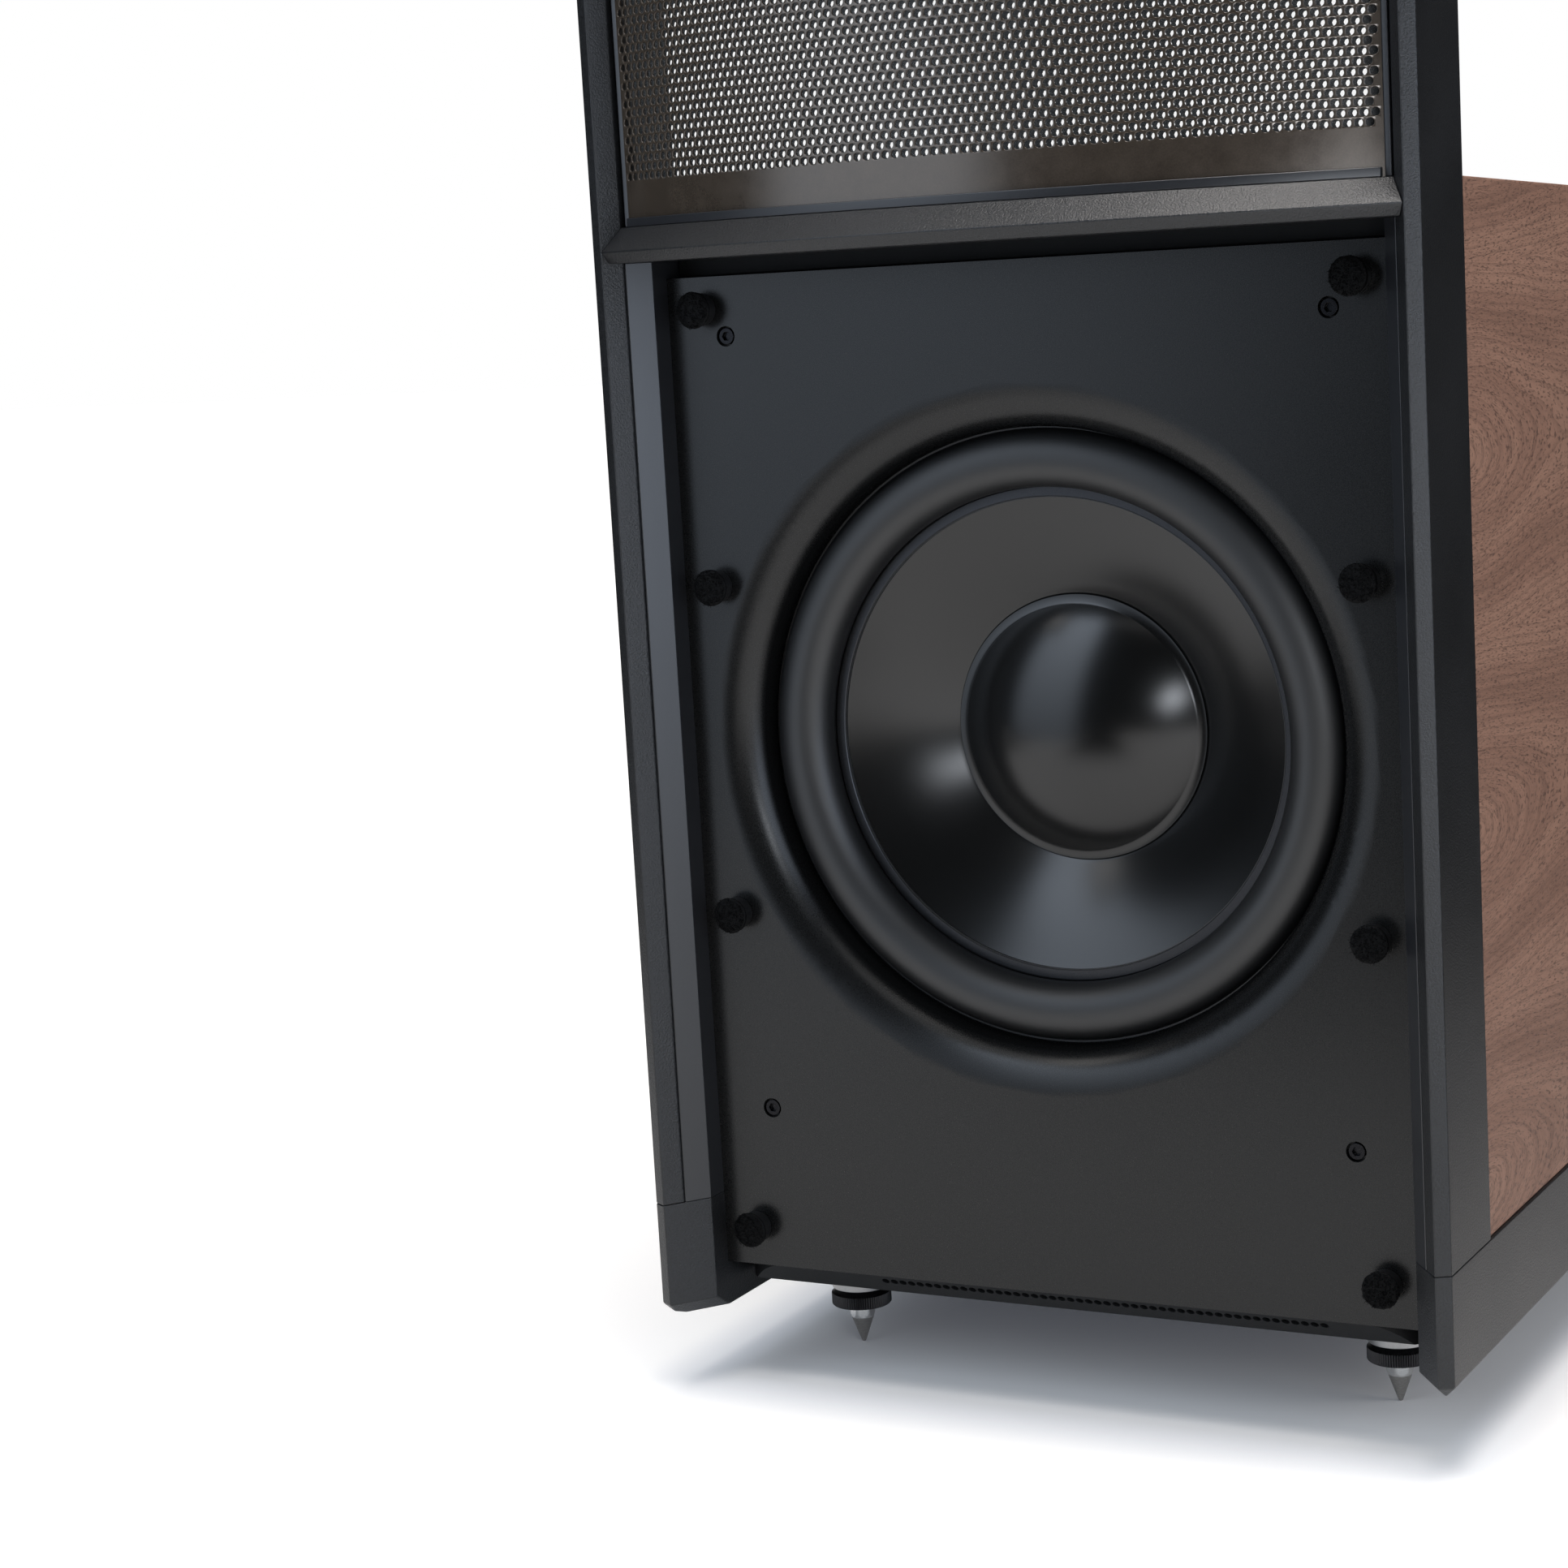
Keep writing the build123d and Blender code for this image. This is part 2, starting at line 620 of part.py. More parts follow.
def surround():
    """Rubber half-roll between the cone's rim and the landing behind the baffle."""
    landing_top = -BAFFLE_THICKNESS
    centre_z = landing_top - ROLL_DROP
    inside = ROLL_RADIUS - SURROUND_THICKNESS
    rim_top = -RIM_DEPTH + SURROUND_THICKNESS
    start = math.asin((rim_top - SURROUND_THICKNESS / 2 - centre_z) / ROLL_RADIUS)
    stop = math.asin((landing_top - SURROUND_THICKNESS / 2 - centre_z) / ROLL_RADIUS)

    def on_roll(radius, angle):
        return (ROLL_CENTRE + radius * math.cos(angle), centre_z + radius * math.sin(angle))

    first = math.pi - start
    middle = (first + stop) / 2
    steps = [
        ThreePointArc(*[on_roll(ROLL_RADIUS, angle) for angle in (stop, middle, first)]),
        Line(on_roll(ROLL_RADIUS, first), on_roll(inside, first)),
        ThreePointArc(*[on_roll(inside, angle) for angle in (first, middle, stop)]),
        Line(on_roll(inside, stop), on_roll(ROLL_RADIUS, stop)),
    ]
    roll = revolve(Plane.XZ * make_face(steps), Axis.Z)
    outer_start = ROLL_CENTRE + inside * math.cos(stop)
    inner_stop = ROLL_CENTRE + inside * math.cos(first)
    outer = tube(outer_start, SURROUND_OUTER, landing_top - SURROUND_THICKNESS, landing_top)
    inner = tube(RIM_RADIUS - RIM_WIDTH, inner_stop, -RIM_DEPTH, rim_top)
    return roll + outer + inner


def cone():
    """Shallow metal cone with a flat rim for the surround and a neck for the voice coil."""
    rim_inner = RIM_RADIUS - RIM_WIDTH
    neck = COIL_RADIUS + COIL_THICKNESS + COIL_GAP / 2
    flare_radius = (rim_inner + CONE_BREAK_RADIUS) / 2
    flare_depth = (RIM_DEPTH + CONE_BREAK_DEPTH) / 2 + CONE_FLARE / 2

    def face(drop):
        return [
            Line((RIM_RADIUS, -RIM_DEPTH - drop), (rim_inner, -RIM_DEPTH - drop)),
            ThreePointArc(
                (rim_inner, -RIM_DEPTH - drop),
                (flare_radius, -flare_depth - drop),
                (CONE_BREAK_RADIUS, -CONE_BREAK_DEPTH - drop),
            ),
            Line((CONE_BREAK_RADIUS, -CONE_BREAK_DEPTH - drop), (neck, -NECK_DEPTH - drop)),
        ]

    ends = [
        Line((neck, -NECK_DEPTH), (neck, -NECK_DEPTH - CONE_THICKNESS)),
        Line((RIM_RADIUS, -RIM_DEPTH), (RIM_RADIUS, -RIM_DEPTH - CONE_THICKNESS)),
    ]
    return revolve(Plane.XZ * make_face(face(0) + face(CONE_THICKNESS) + ends), Axis.Z)


def dust_cap():
    """Convex cap over the voice coil, with a narrow ring that sits on the cone."""
    base = -CONE_BREAK_DEPTH + CAP_THICKNESS
    sphere = (CAP_RADIUS**2 + CAP_RISE**2) / (2 * CAP_RISE)
    centre = base + CAP_RISE - sphere
    half = math.asin(CAP_RADIUS / sphere) / 2
    inside = sphere - CAP_THICKNESS
    reach = math.sqrt(inside**2 - (base - centre) ** 2)
    steps = [
        ThreePointArc(
            (0, centre + sphere),
            (sphere * math.sin(half), centre + sphere * math.cos(half)),
            (CAP_RADIUS, base),
        ),
        Line((CAP_RADIUS, base), (reach, base)),
        ThreePointArc(
            (reach, base),
            (inside * math.sin(half), centre + inside * math.cos(half)),
            (0, centre + inside),
        ),
        Line((0, centre + inside), (0, centre + sphere)),
    ]
    dome = revolve(Plane.XZ * make_face(steps), Axis.Z)
    return dome + tube(reach, CAP_RADIUS + CAP_RING_WIDTH, base - CAP_THICKNESS, base)


def spider():
    """Corrugated disc that centres the voice coil over the basket's ledge."""
    inner = COIL_RADIUS + COIL_THICKNESS + COIL_GAP
    wave_end = PAN_RADIUS - LEDGE_WIDTH
    pitch = (wave_end - inner) / (2 * SPIDER_WAVES)
    upper = []
    for step in range(2 * SPIDER_WAVES + 1):
        lift = SPIDER_WAVE_HEIGHT if step % 2 else 0
        upper.append((inner + step * pitch, -LEDGE_DEPTH + SPIDER_THICKNESS + lift))
    upper.append((SPIDER_OUTER, -LEDGE_DEPTH + SPIDER_THICKNESS))
    lower = [(radius, z - SPIDER_THICKNESS) for radius, z in reversed(upper)]
    return turned(upper + lower)


def basket():
    """Cast frame: flange, spoked skirt and the pan that carries the spider and the motor."""
    flange_top = -BAFFLE_THICKNESS - SURROUND_THICKNESS
    flange_back = flange_top - FLANGE_THICKNESS
    flange_inner = FLANGE_RADIUS - FLANGE_WIDTH
    pan_back = -LEDGE_DEPTH - PAN_DEPTH
    flange = tube(flange_inner, FLANGE_RADIUS, flange_back, flange_top)
    skirt = turned([
        (flange_inner, flange_back),
        (flange_inner + SKIRT_THICKNESS, flange_back),
        (PAN_RADIUS, -LEDGE_DEPTH - SKIRT_THICKNESS),
        (PAN_RADIUS, -LEDGE_DEPTH),
    ])
    window = make_face(Polyline(
        (PAN_RADIUS + SKIRT_THICKNESS, pan_back),
        (flange_inner, pan_back),
        (flange_inner, flange_back - SKIRT_THICKNESS),
        (PAN_RADIUS + SKIRT_THICKNESS, flange_back - SKIRT_THICKNESS),
        close=True,
    ))
    opening = revolve(Plane.XZ * window, Axis.Z, revolution_arc=360 / SPOKES - SPOKE_ANGLE)
    for spoke in range(SPOKES):
        skirt -= Rot(0, 0, spoke * 360 / SPOKES) * opening
    pan = turned([
        (PAN_RADIUS, -LEDGE_DEPTH),
        (PAN_RADIUS, pan_back),
        (MAGNET_BORE, pan_back),
        (MAGNET_BORE, pan_back + PAN_FLOOR),
        (PAN_RADIUS - LEDGE_WIDTH, pan_back + PAN_FLOOR),
        (PAN_RADIUS - LEDGE_WIDTH, -LEDGE_DEPTH),
    ])
    holes = rod(WOOFER_SCREW_DIAMETER / 2 + SCREW_CLEARANCE, flange_back, flange_top)
    return flange + skirt + pan - [place * holes for place in screw_places()]


def motor():
    """Steel of the motor (front plate and yoke with its vented pole) and the ring magnet."""
    plate_top = -LEDGE_DEPTH - PAN_DEPTH
    plate_back = plate_top - PLATE_THICKNESS
    magnet_back = plate_back - MAGNET_THICKNESS
    yoke_back = magnet_back - YOKE_THICKNESS
    plate = tube(COIL_RADIUS + COIL_THICKNESS + COIL_GAP, PLATE_RADIUS, plate_back, plate_top)
    pole = COIL_RADIUS - COIL_GAP
    yoke = turned([
        (POLE_VENT, yoke_back),
        (PLATE_RADIUS, yoke_back),
        (PLATE_RADIUS, magnet_back),
        (pole, magnet_back),
        (pole, plate_top),
        (POLE_VENT, plate_top),
    ])
    return Compound(children=[plate, yoke]), tube(MAGNET_BORE, MAGNET_RADIUS, magnet_back, plate_back)


def woofer_screws():
    """Hexagon-head screws that hold a woofer's flange to the back of its baffle."""
    seat = -BAFFLE_THICKNESS - SURROUND_THICKNESS - FLANGE_THICKNESS
    shank = rod(WOOFER_SCREW_DIAMETER / 2, seat, WOOFER_SCREW_BITE - BAFFLE_THICKNESS - SCREW_CLEARANCE)
    head = Pos(0, 0, seat) * extrude(RegularPolygon(WOOFER_HEAD_AF / 2, 6), amount=-WOOFER_HEAD_HEIGHT)
    return Compound(children=[place * (shank + head) for place in screw_places()])


def woofer(prefix, frame):
    """All pieces of one woofer, set into a baffle by its frame."""
    steel, magnet = motor()
    coil_top = -NECK_DEPTH + COIL_PROUD
    pieces = {
        "basket": basket(),
        "motor_steel": steel,
        "magnet": magnet,
        "surround": surround(),
        "spider": spider(),
        "cone": cone(),
        "dust_cap": dust_cap(),
        "voice_coil": tube(COIL_RADIUS, COIL_RADIUS + COIL_THICKNESS, coil_top - COIL_LENGTH, coil_top),
        "woofer_screws": woofer_screws(),
    }
    return {f"{prefix}_{name}": frame * piece for name, piece in pieces.items()}


def rear_frame(x, z):
    """A frame on the amplifier plate's outer face whose Z axis looks out of the back."""
    return Plane(origin=(x, CABINET_BACK + AMP_PLATE_THICKNESS, z), x_dir=(-1, 0, 0), z_dir=(0, 1, 0))


def amp_plate():
    """Rear plate with openings for the inlet, the level control and the binding posts."""
    half = AMP_PLATE_HALF_WIDTH
    back = CABINET_BACK + AMP_PLATE_THICKNESS
    body = slab(-half, half, CABINET_BACK, back, AMP_PLATE_LOW, AMP_PLATE_HIGH)
    body -= rear_frame(INLET_X, INLET_Z) * Box(INLET_WIDTH, INLET_HEIGHT, 2 * AMP_PLATE_THICKNESS)
    body -= rear_frame(KNOB_X, KNOB_Z) * rod(
        KNOB_SHAFT_RADIUS + TURN_CLEARANCE, -AMP_PLATE_THICKNESS, AMP_PLATE_THICKNESS
    )
    for place in binding_places():
        body -= place * rod(STUD_RADIUS + SCREW_CLEARANCE, -AMP_PLATE_THICKNESS, AMP_PLATE_THICKNESS)
    return body


def binding_places():
    """Frames of the two binding posts."""
    return [rear_frame(BINDING_X + side * POST_PITCH / 2, BINDING_Z) for side in (-1, 1)]


def binding_post():
    """Fixed collar and socketed stud of a binding post."""
    end = BINDING_COLLAR_LENGTH + STUD_LENGTH
    stud = rod(STUD_RADIUS, -AMP_PLATE_THICKNESS, end)
    collar = rod(BINDING_COLLAR_RADIUS, 0, BINDING_COLLAR_LENGTH)
    return stud + collar - rod(SOCKET_DIAMETER / 2, end - SOCKET_DEPTH, end)


def binding_cap():
    """Fluted clamp cap that turns on a binding post's stud."""
    low = BINDING_COLLAR_LENGTH + TURN_CLEARANCE
    high = low + BINDING_CAP_LENGTH
    body = tube(STUD_RADIUS + TURN_CLEARANCE, BINDING_CAP_RADIUS, low, high)
    flute = rod(FLUTE_DIAMETER / 2, low, high)
    return body - [place * flute for place in PolarLocations(BINDING_CAP_RADIUS, BINDING_FLUTES)]


def bass_knob():
    """Level knob on its shaft."""
    low = TURN_CLEARANCE
    high = low + KNOB_LENGTH
    cap = turned([(0, low), (KNOB_RADIUS, low), (KNOB_RADIUS - KNOB_TAPER, high), (0, high)])
    return rear_frame(KNOB_X, KNOB_Z) * (cap + rod(KNOB_SHAFT_RADIUS, -KNOB_SHAFT_LENGTH, low))


def mains_inlet():
    """Mains inlet: a flanged box with an open socket; its lead is not part of the speaker."""
    flange = Pos(0, 0, INLET_WALL / 2) * Box(
        INLET_WIDTH + 2 * INLET_FLANGE, INLET_HEIGHT + 2 * INLET_FLANGE, INLET_WALL
    )
    clear = 2 * SCREW_CLEARANCE
    body = Pos(0, 0, -INLET_DEPTH / 2) * Box(INLET_WIDTH - clear, INLET_HEIGHT - clear, INLET_DEPTH)
    socket = Pos(0, 0, INLET_WALL - INLET_DEPTH / 2) * Box(
        INLET_WIDTH - 2 * INLET_WALL, INLET_HEIGHT - 2 * INLET_WALL, INLET_DEPTH
    )
    return rear_frame(INLET_X, INLET_Z) * (flange + body - socket)


def heatsink():
    """Upright fins on a common foot, on the middle of the amplifier plate."""
    plate_back = CABINET_BACK + AMP_PLATE_THICKNESS
    half = fin_half()
    low = AMP_PLATE_LOW + FIN_MARGIN
    high = AMP_PLATE_HIGH - FIN_MARGIN
    body = slab(-half, half, plate_back, plate_back + FIN_FOOT, low, high)
    for fin in range(FIN_COUNT):
        x = -half + fin * FIN_PITCH
        body += slab(x, x + FIN_THICKNESS, plate_back, plate_back + FIN_DEPTH, low, high)
    return body


def board(width, depth, standoff):
    """A circuit board on four standoffs, seated on z = 0."""
    body = Pos(0, 0, standoff + BOARD_THICKNESS / 2) * Box(width, depth, BOARD_THICKNESS)
    inset = 2 * (BOARD_MARGIN + STANDOFF_RADIUS)
    pillar = rod(STANDOFF_RADIUS, 0, standoff)
    return body + [place * pillar for place in GridLocations(width - inset, depth - inset, 2, 2)]


def amp_board():
    """Amplifier board behind the plate, between the inlet and the binding posts."""
    middle = (0, CABINET_BACK, (AMP_PLATE_LOW + AMP_PLATE_HIGH) / 2)
    inner = Plane(origin=middle, x_dir=(1, 0, 0), z_dir=(0, -1, 0))
    height = AMP_PLATE_HIGH - AMP_PLATE_LOW - 2 * (AMP_BORDER + BOARD_MARGIN)
    return inner * board(2 * fin_half(), height, BOARD_STANDOFF)


def transformer():
    """Step-up transformer for the panel: a laminated core with its winding round the middle limb."""
    core = Box(CORE_WIDTH, CORE_STACK, CORE_HEIGHT)
    window_width = (CORE_WIDTH - 4 * CORE_LIMB) / 2
    window_height = CORE_HEIGHT - 2 * CORE_LIMB
    window = Box(window_width, CORE_STACK, window_height)
    for side in (-1, 1):
        core -= Pos(side * (CORE_LIMB + window_width / 2), 0, 0) * window
    winding = Box(
        2 * CORE_LIMB + 2 * window_width, CORE_STACK + 2 * WINDING_OVERHANG, window_height
    ) - Box(2 * CORE_LIMB, CORE_STACK, window_height)
    place = Pos(TRANSFORMER_X, TRANSFORMER_Y, BASE_TOP + CORE_HEIGHT / 2)
    return place * core, place * winding


def spike_places():
    """Plan position of each spike by name."""
    return {
        "front_left": (-SPIKE_X, SPIKE_FRONT_Y),
        "front_right": (SPIKE_X, SPIKE_FRONT_Y),
        "rear_left": (-SPIKE_X, SPIKE_REAR_Y),
        "rear_right": (SPIKE_X, SPIKE_REAR_Y),
    }


def spike_hole_radius():
    """Radius of the holes that a spike's shank runs in."""
    return SPIKE_SHANK_RADIUS + TURN_CLEARANCE


def boss():
    """Round boss under the floor that a spike screws into."""
    return tube(spike_hole_radius(), BOSS_RADIUS, BASE_BOTTOM - BOSS_HEIGHT, BASE_BOTTOM)


def ring_bottom():
    """Height of a lock ring's lower face."""
    return BASE_BOTTOM - BOSS_HEIGHT - RING_GAP - RING_THICKNESS


def lock_ring():
    """Knurled ring that locks a spike."""
    low = ring_bottom()
    high = low + RING_THICKNESS
    star = []
    for step in range(2 * RING_KNURLS):
        radius = RING_RADIUS - (KNURL_DEPTH if step % 2 else 0)
        angle = math.pi * step / RING_KNURLS
        star.append((radius * math.cos(angle), radius * math.sin(angle)))
    return plan_prism(star, low, high) - rod(spike_hole_radius(), low, high)


def spike():
    """Spike with a flat tip, a tapered point, a hexagon for the key and a plain shank."""
    hex_top = ring_bottom() - RING_GAP
    hex_low = hex_top - SPIKE_HEX_HEIGHT
    hexagon = Pos(0, 0, hex_low) * RegularPolygon(SPIKE_HEX / 2, 6, major_radius=False)
    key = extrude(hexagon, amount=SPIKE_HEX_HEIGHT)
    point = turned([(0, 0), (SPIKE_TIP_RADIUS, 0), (SPIKE_HEX / 2, hex_low), (0, hex_low)])
    return point + key + rod(SPIKE_SHANK_RADIUS, hex_top, SPIKE_SHANK_TOP)


def feet():
    """Bosses, spikes and lock rings at the four corners."""
    places = spike_places()
    pieces = {"spike_bosses": Compound(children=[Pos(x, y, 0) * boss() for x, y in places.values()])}
    for corner, (x, y) in places.items():
        pieces[f"spike_{corner}"] = Pos(x, y, 0) * spike()
        pieces[f"lock_ring_{corner}"] = Pos(x, y, 0) * lock_ring()
    return pieces


def frame_pieces():
    """Rails, bars, trims, plinth and base."""
    right = rail()
    trim = bay_trim()
    toe = plinth()
    return {
        "rail_left": mirrored(right),
        "rail_right": right,
        "cross_bar": cross_bar(),
        "top_bar": top_bar(),
        "bay_trims": Compound(children=[mirrored(trim), trim]),
        "plinth_left": mirrored(toe),
        "plinth_right": toe,
        "base_plate": base_plate(),
    }


def front_fittings():
    """Baffle, its screws, the grille posts and their fastening pads."""
    post = rod(POST_DIAMETER / 2, 0, POST_LENGTH)
    pad = rod(POST_DIAMETER / 2, POST_LENGTH, POST_LENGTH + PAD_THICKNESS)
    return {
        "front_baffle": front_baffle(),
        "baffle_screws": Compound(children=[place * baffle_screw() for place in baffle_screw_places()]),
        "grille_posts": Compound(children=[place * post for place in grille_places()]),
        "grille_pads": Compound(children=[place * pad for place in grille_places()]),
    }


def rear_fittings():
    """Amplifier plate, its controls and what hangs on it, and the panel electronics."""
    black, red = binding_places()
    core, winding = transformer()
    bias = Pos(BIAS_X, BIAS_Y, BASE_TOP) * board(BIAS_WIDTH, BIAS_DEPTH, BIAS_STANDOFF)
    return {
        "amp_plate": amp_plate(),
        "amp_heatsink": heatsink(),
        "circuit_boards": Compound(children=[amp_board(), bias]),
        "mains_inlet": mains_inlet(),
        "bass_knob": bass_knob(),
        "binding_posts": Compound(children=[place * binding_post() for place in (black, red)]),
        "binding_cap_black": black * binding_cap(),
        "binding_cap_red": red * binding_cap(),
        "transformer_core": core,
        "transformer_winding": winding,
    }


def all_pieces():
    """Every piece of the speaker by name."""
    return {
        **frame_pieces(),
        **panel_layers(),
        **cabinet(),
        **front_fittings(),
        **woofer("front", front_woofer_plane()),
        **woofer("rear", rear_woofer_plane()),
        **rear_fittings(),
        **feet(),
    }


os.makedirs("parts", exist_ok=True)
for node, piece in all_pieces().items():
    export_step(PART_SHIFT * piece, f"parts/{node}.step")
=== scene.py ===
"""Looks of the floor-standing loudspeaker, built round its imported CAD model.

Blender works in metres. Sizes named below are millimetres, scaled by MM where they are used, and angles
are degrees, unless a heading says otherwise. The front faces -Y, +Z is up and the floor is Z = 0.
"""
import json
import math
import random
from collections import namedtuple

import bmesh
import bpy
import numpy as np
from mathutils import Matrix, Vector


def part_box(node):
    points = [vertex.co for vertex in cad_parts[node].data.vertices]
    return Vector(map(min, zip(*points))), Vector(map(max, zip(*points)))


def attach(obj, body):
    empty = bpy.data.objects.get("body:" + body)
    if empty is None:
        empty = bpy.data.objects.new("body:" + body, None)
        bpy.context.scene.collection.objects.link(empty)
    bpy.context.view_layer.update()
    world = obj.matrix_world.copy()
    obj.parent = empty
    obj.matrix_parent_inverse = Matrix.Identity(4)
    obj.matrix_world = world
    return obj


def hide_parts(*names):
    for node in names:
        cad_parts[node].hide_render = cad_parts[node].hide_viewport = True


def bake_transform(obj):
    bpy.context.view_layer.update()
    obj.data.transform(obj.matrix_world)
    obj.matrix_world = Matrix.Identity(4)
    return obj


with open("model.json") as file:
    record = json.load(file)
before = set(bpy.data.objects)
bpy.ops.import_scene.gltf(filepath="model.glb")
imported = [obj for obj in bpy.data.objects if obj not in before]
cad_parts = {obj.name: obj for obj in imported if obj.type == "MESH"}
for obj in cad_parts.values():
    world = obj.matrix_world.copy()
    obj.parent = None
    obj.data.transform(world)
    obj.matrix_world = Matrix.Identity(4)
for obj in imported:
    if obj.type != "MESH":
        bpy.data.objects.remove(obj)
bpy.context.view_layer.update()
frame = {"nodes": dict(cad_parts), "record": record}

MM = 0.001

# Camera, solved from the photograph: place and clip in metres, focal length and centre in pixels
PHOTO_PIXELS = 1932
CAMERA_PLACE = (0.6659, -1.72385, 0.5659)
CAMERA_YAW = 28.70
CAMERA_PITCH = -8.95
CAMERA_ROLL = -3.36
FOCAL_PIXELS = 4153.6
OPTICAL_CENTRE = (980.3, 986.5)
SENSOR = 36.0
NEAR_CLIP = 0.05

# Eased edges
WELD = 0.002
EASE_SEGMENTS = 2
FLAT_ANGLE = 0.5
SHARP_ANGLE = 24.0
SMOOTH_ANGLE = 40.0

# Perforated panel: the clearance at its edges is in pitches, the rim's rounding a share of the rim
PANEL_HALF_ANGLE = 28.5
SEAL_OVERLAP = 0.12
SHEET_THICKNESS = 0.9
HOLE_PITCH = 5.0
REAR_PITCH = 5.0875
REAR_SHIFT = 0.25
REAR_BEND = -0.025
HOLE_RADIUS = 1.9
REAR_HOLE_RADIUS = 1.6
HOLE_RIM = 0.22
RIM_ROUND = 0.3
EDGE_CLEAR = 0.875
PANEL_MARGIN = 21.0
FINE_BANDS = 2
FINE_BAND_ROWS = 12
FINE_SIDES = 16
PLAIN_SIDES = 8
BAND_FACES = 190_000
STATOR_SMOOTH = 50.0

# Woofers: radii, and depths behind the baffle's face
LATHE_STEPS = 240
ROLL_CENTRE = 135.0
ROLL_RADIUS = 13.6
ROLL_OUTER = 15.2
ROLL_DEPTH = 25.5
ROLL_POINTS = 48
LANDING_DEPTH = 22.0
LANDING_RADIUS = 157.0
RUBBER = 1.2
FOOT_LAP = 0.6
RIM_RADIUS = 121.0
RIM_DEPTH = 31.7
RIM_WIDTH = 5.0
RIM_INNER = RIM_RADIUS - RIM_WIDTH
RIM_GROOVE = 0.7
TRIM_RING = 0.9
TRIM_OUTSET = 0.4
TRIM_INSET = 0.5
TRIM_EASE = 0.35
CONE_THICKNESS = 1.2
CONE_FLARE = -1.4
CONE_POINTS = 24
BREAK_RADIUS = 66.0
BREAK_DEPTH = 59.5
NECK_DEPTH = 72.0
NECK_RADIUS = 39.3
CAP_RADIUS = 62.5
CAP_RISE = 20.0
CAP_THICKNESS = 1.0
CAP_RING = 3.5
CAP_POINTS = 40
SPIDER_INNER = 39.6
SPIDER_WAVE_END = 78.0
SPIDER_OUTER = 86.0
SPIDER_DEPTH = 83.0
SPIDER_WAVES = 5
SPIDER_HEIGHT = 3.0
SPIDER_CLOTH = 0.8
WAVE_POINTS = 12

# Painted shade in the woofers' mouths: depths where the lacquer's gloss starts to fade and has faded out
MOUTH_SHADE_START = 7.0
MOUTH_SHADE_FULL = 12.0

# Spikes: the tip is given as heights and shares of the point's radius
CORNERS = ("front_left", "front_right", "rear_left", "rear_right")
SPIKE_STEPS = 96
SPIKE_FLATS = 12.0
SPIKE_HEX_HEIGHT = 7.6
SPIKE_POINT = 1.0
SPIKE_TIP = ((0.0, 0.6), (0.2, 0.95))
SPIKE_CONE_START = 0.8
SPIKE_CONE_RINGS = 8
SPIKE_CORNER = (0.2, 2.0)
SPIKE_CORNER_RINGS = 9
SPIKE_SHANK = 5.0
SPIKE_THREAD = 0.5
SPIKE_LEAD = 1.5
SPIKE_POLISH = 0.3
SPIKE_SMOOTH = 30.0

# Lock rings: a knurl is four points, given as shares of the cut; the ledge is a share of the step
RING_KNURLS = 76
RING_TOOTH = (0.0, 0.5, 1.0, 0.5)
RING_CUT = 0.6
RING_BORE = 5.2
RING_CHAMFER = 0.5
RING_BAND = 6.4
RING_STEP = 0.9
RING_LEDGE = 0.4
RING_SLOPE = 2.2
RING_SMOOTH = 25.0

# Hook-and-loop pads: hoops are shares of a pad's radius and depth, and a fibre bends by half turns
PAD_SEED = 11
PAD_NAP = 1.0
PAD_STEPS = 40
PAD_HOOPS = ((1.0, 0.0), (1.0, 0.55), (0.93, 0.8), (0.6, 0.88))
PAD_CROWN = 0.9
PAD_RAGGED = 0.02
PAD_SMOOTH = 60.0
FIBRES = 420
FIBRE_LENGTH = 1.9
FIBRE_SHORTEST = 0.5
FIBRE_RADIUS = 0.13
FIBRE_STEPS = 4
FIBRE_SIDES = 3
FIBRE_BEND = (0.2, 1.0)
FIBRE_FIELD = 0.99
FIBRE_ROOT = 0.8
FIBRE_CLEAR = 0.19
FIBRE_RISE = 0.9

# Contact blades in the mains inlet: places are across and up from its middle
PIN_PLACES = ((-7.0, -1.5), (0.0, 2.5), (7.0, -1.5))
PIN_SIZE = (2.0, 12.0, 4.0)
PIN_SET = 9.0
PIN_EASE = 0.35

# Studio: distances in metres, levels of light and tints
WORLD_LEVEL = 0.34
WORLD_TINT = (0.86, 0.93, 1.0)
WHITE = (1.0, 1.0, 1.0)
FLOOR_REACH = 14.0
FLOOR_FAR = 3.0
FLOOR_GLOW = 0.57
FLOOR_TINT = (1.0, 0.96, 0.93)
SHADOW_EDGE = 0.05
SHADOW_GLOW = 0.05
SHADOW_EDGE_GLOW = 0.38
SHADOW_TINT = (0.76, 0.81, 1.0)
CLOTH_FADE = 0.25

nodes = frame["nodes"]
BODIES = frame["record"]["behaviour"]["bodies"]
BODY_OF = {node: body for body, members in BODIES.items() for node in members}
SLOT_OF = {part["node"]: part["material_slot"] for part in frame["record"]["subparts"]}


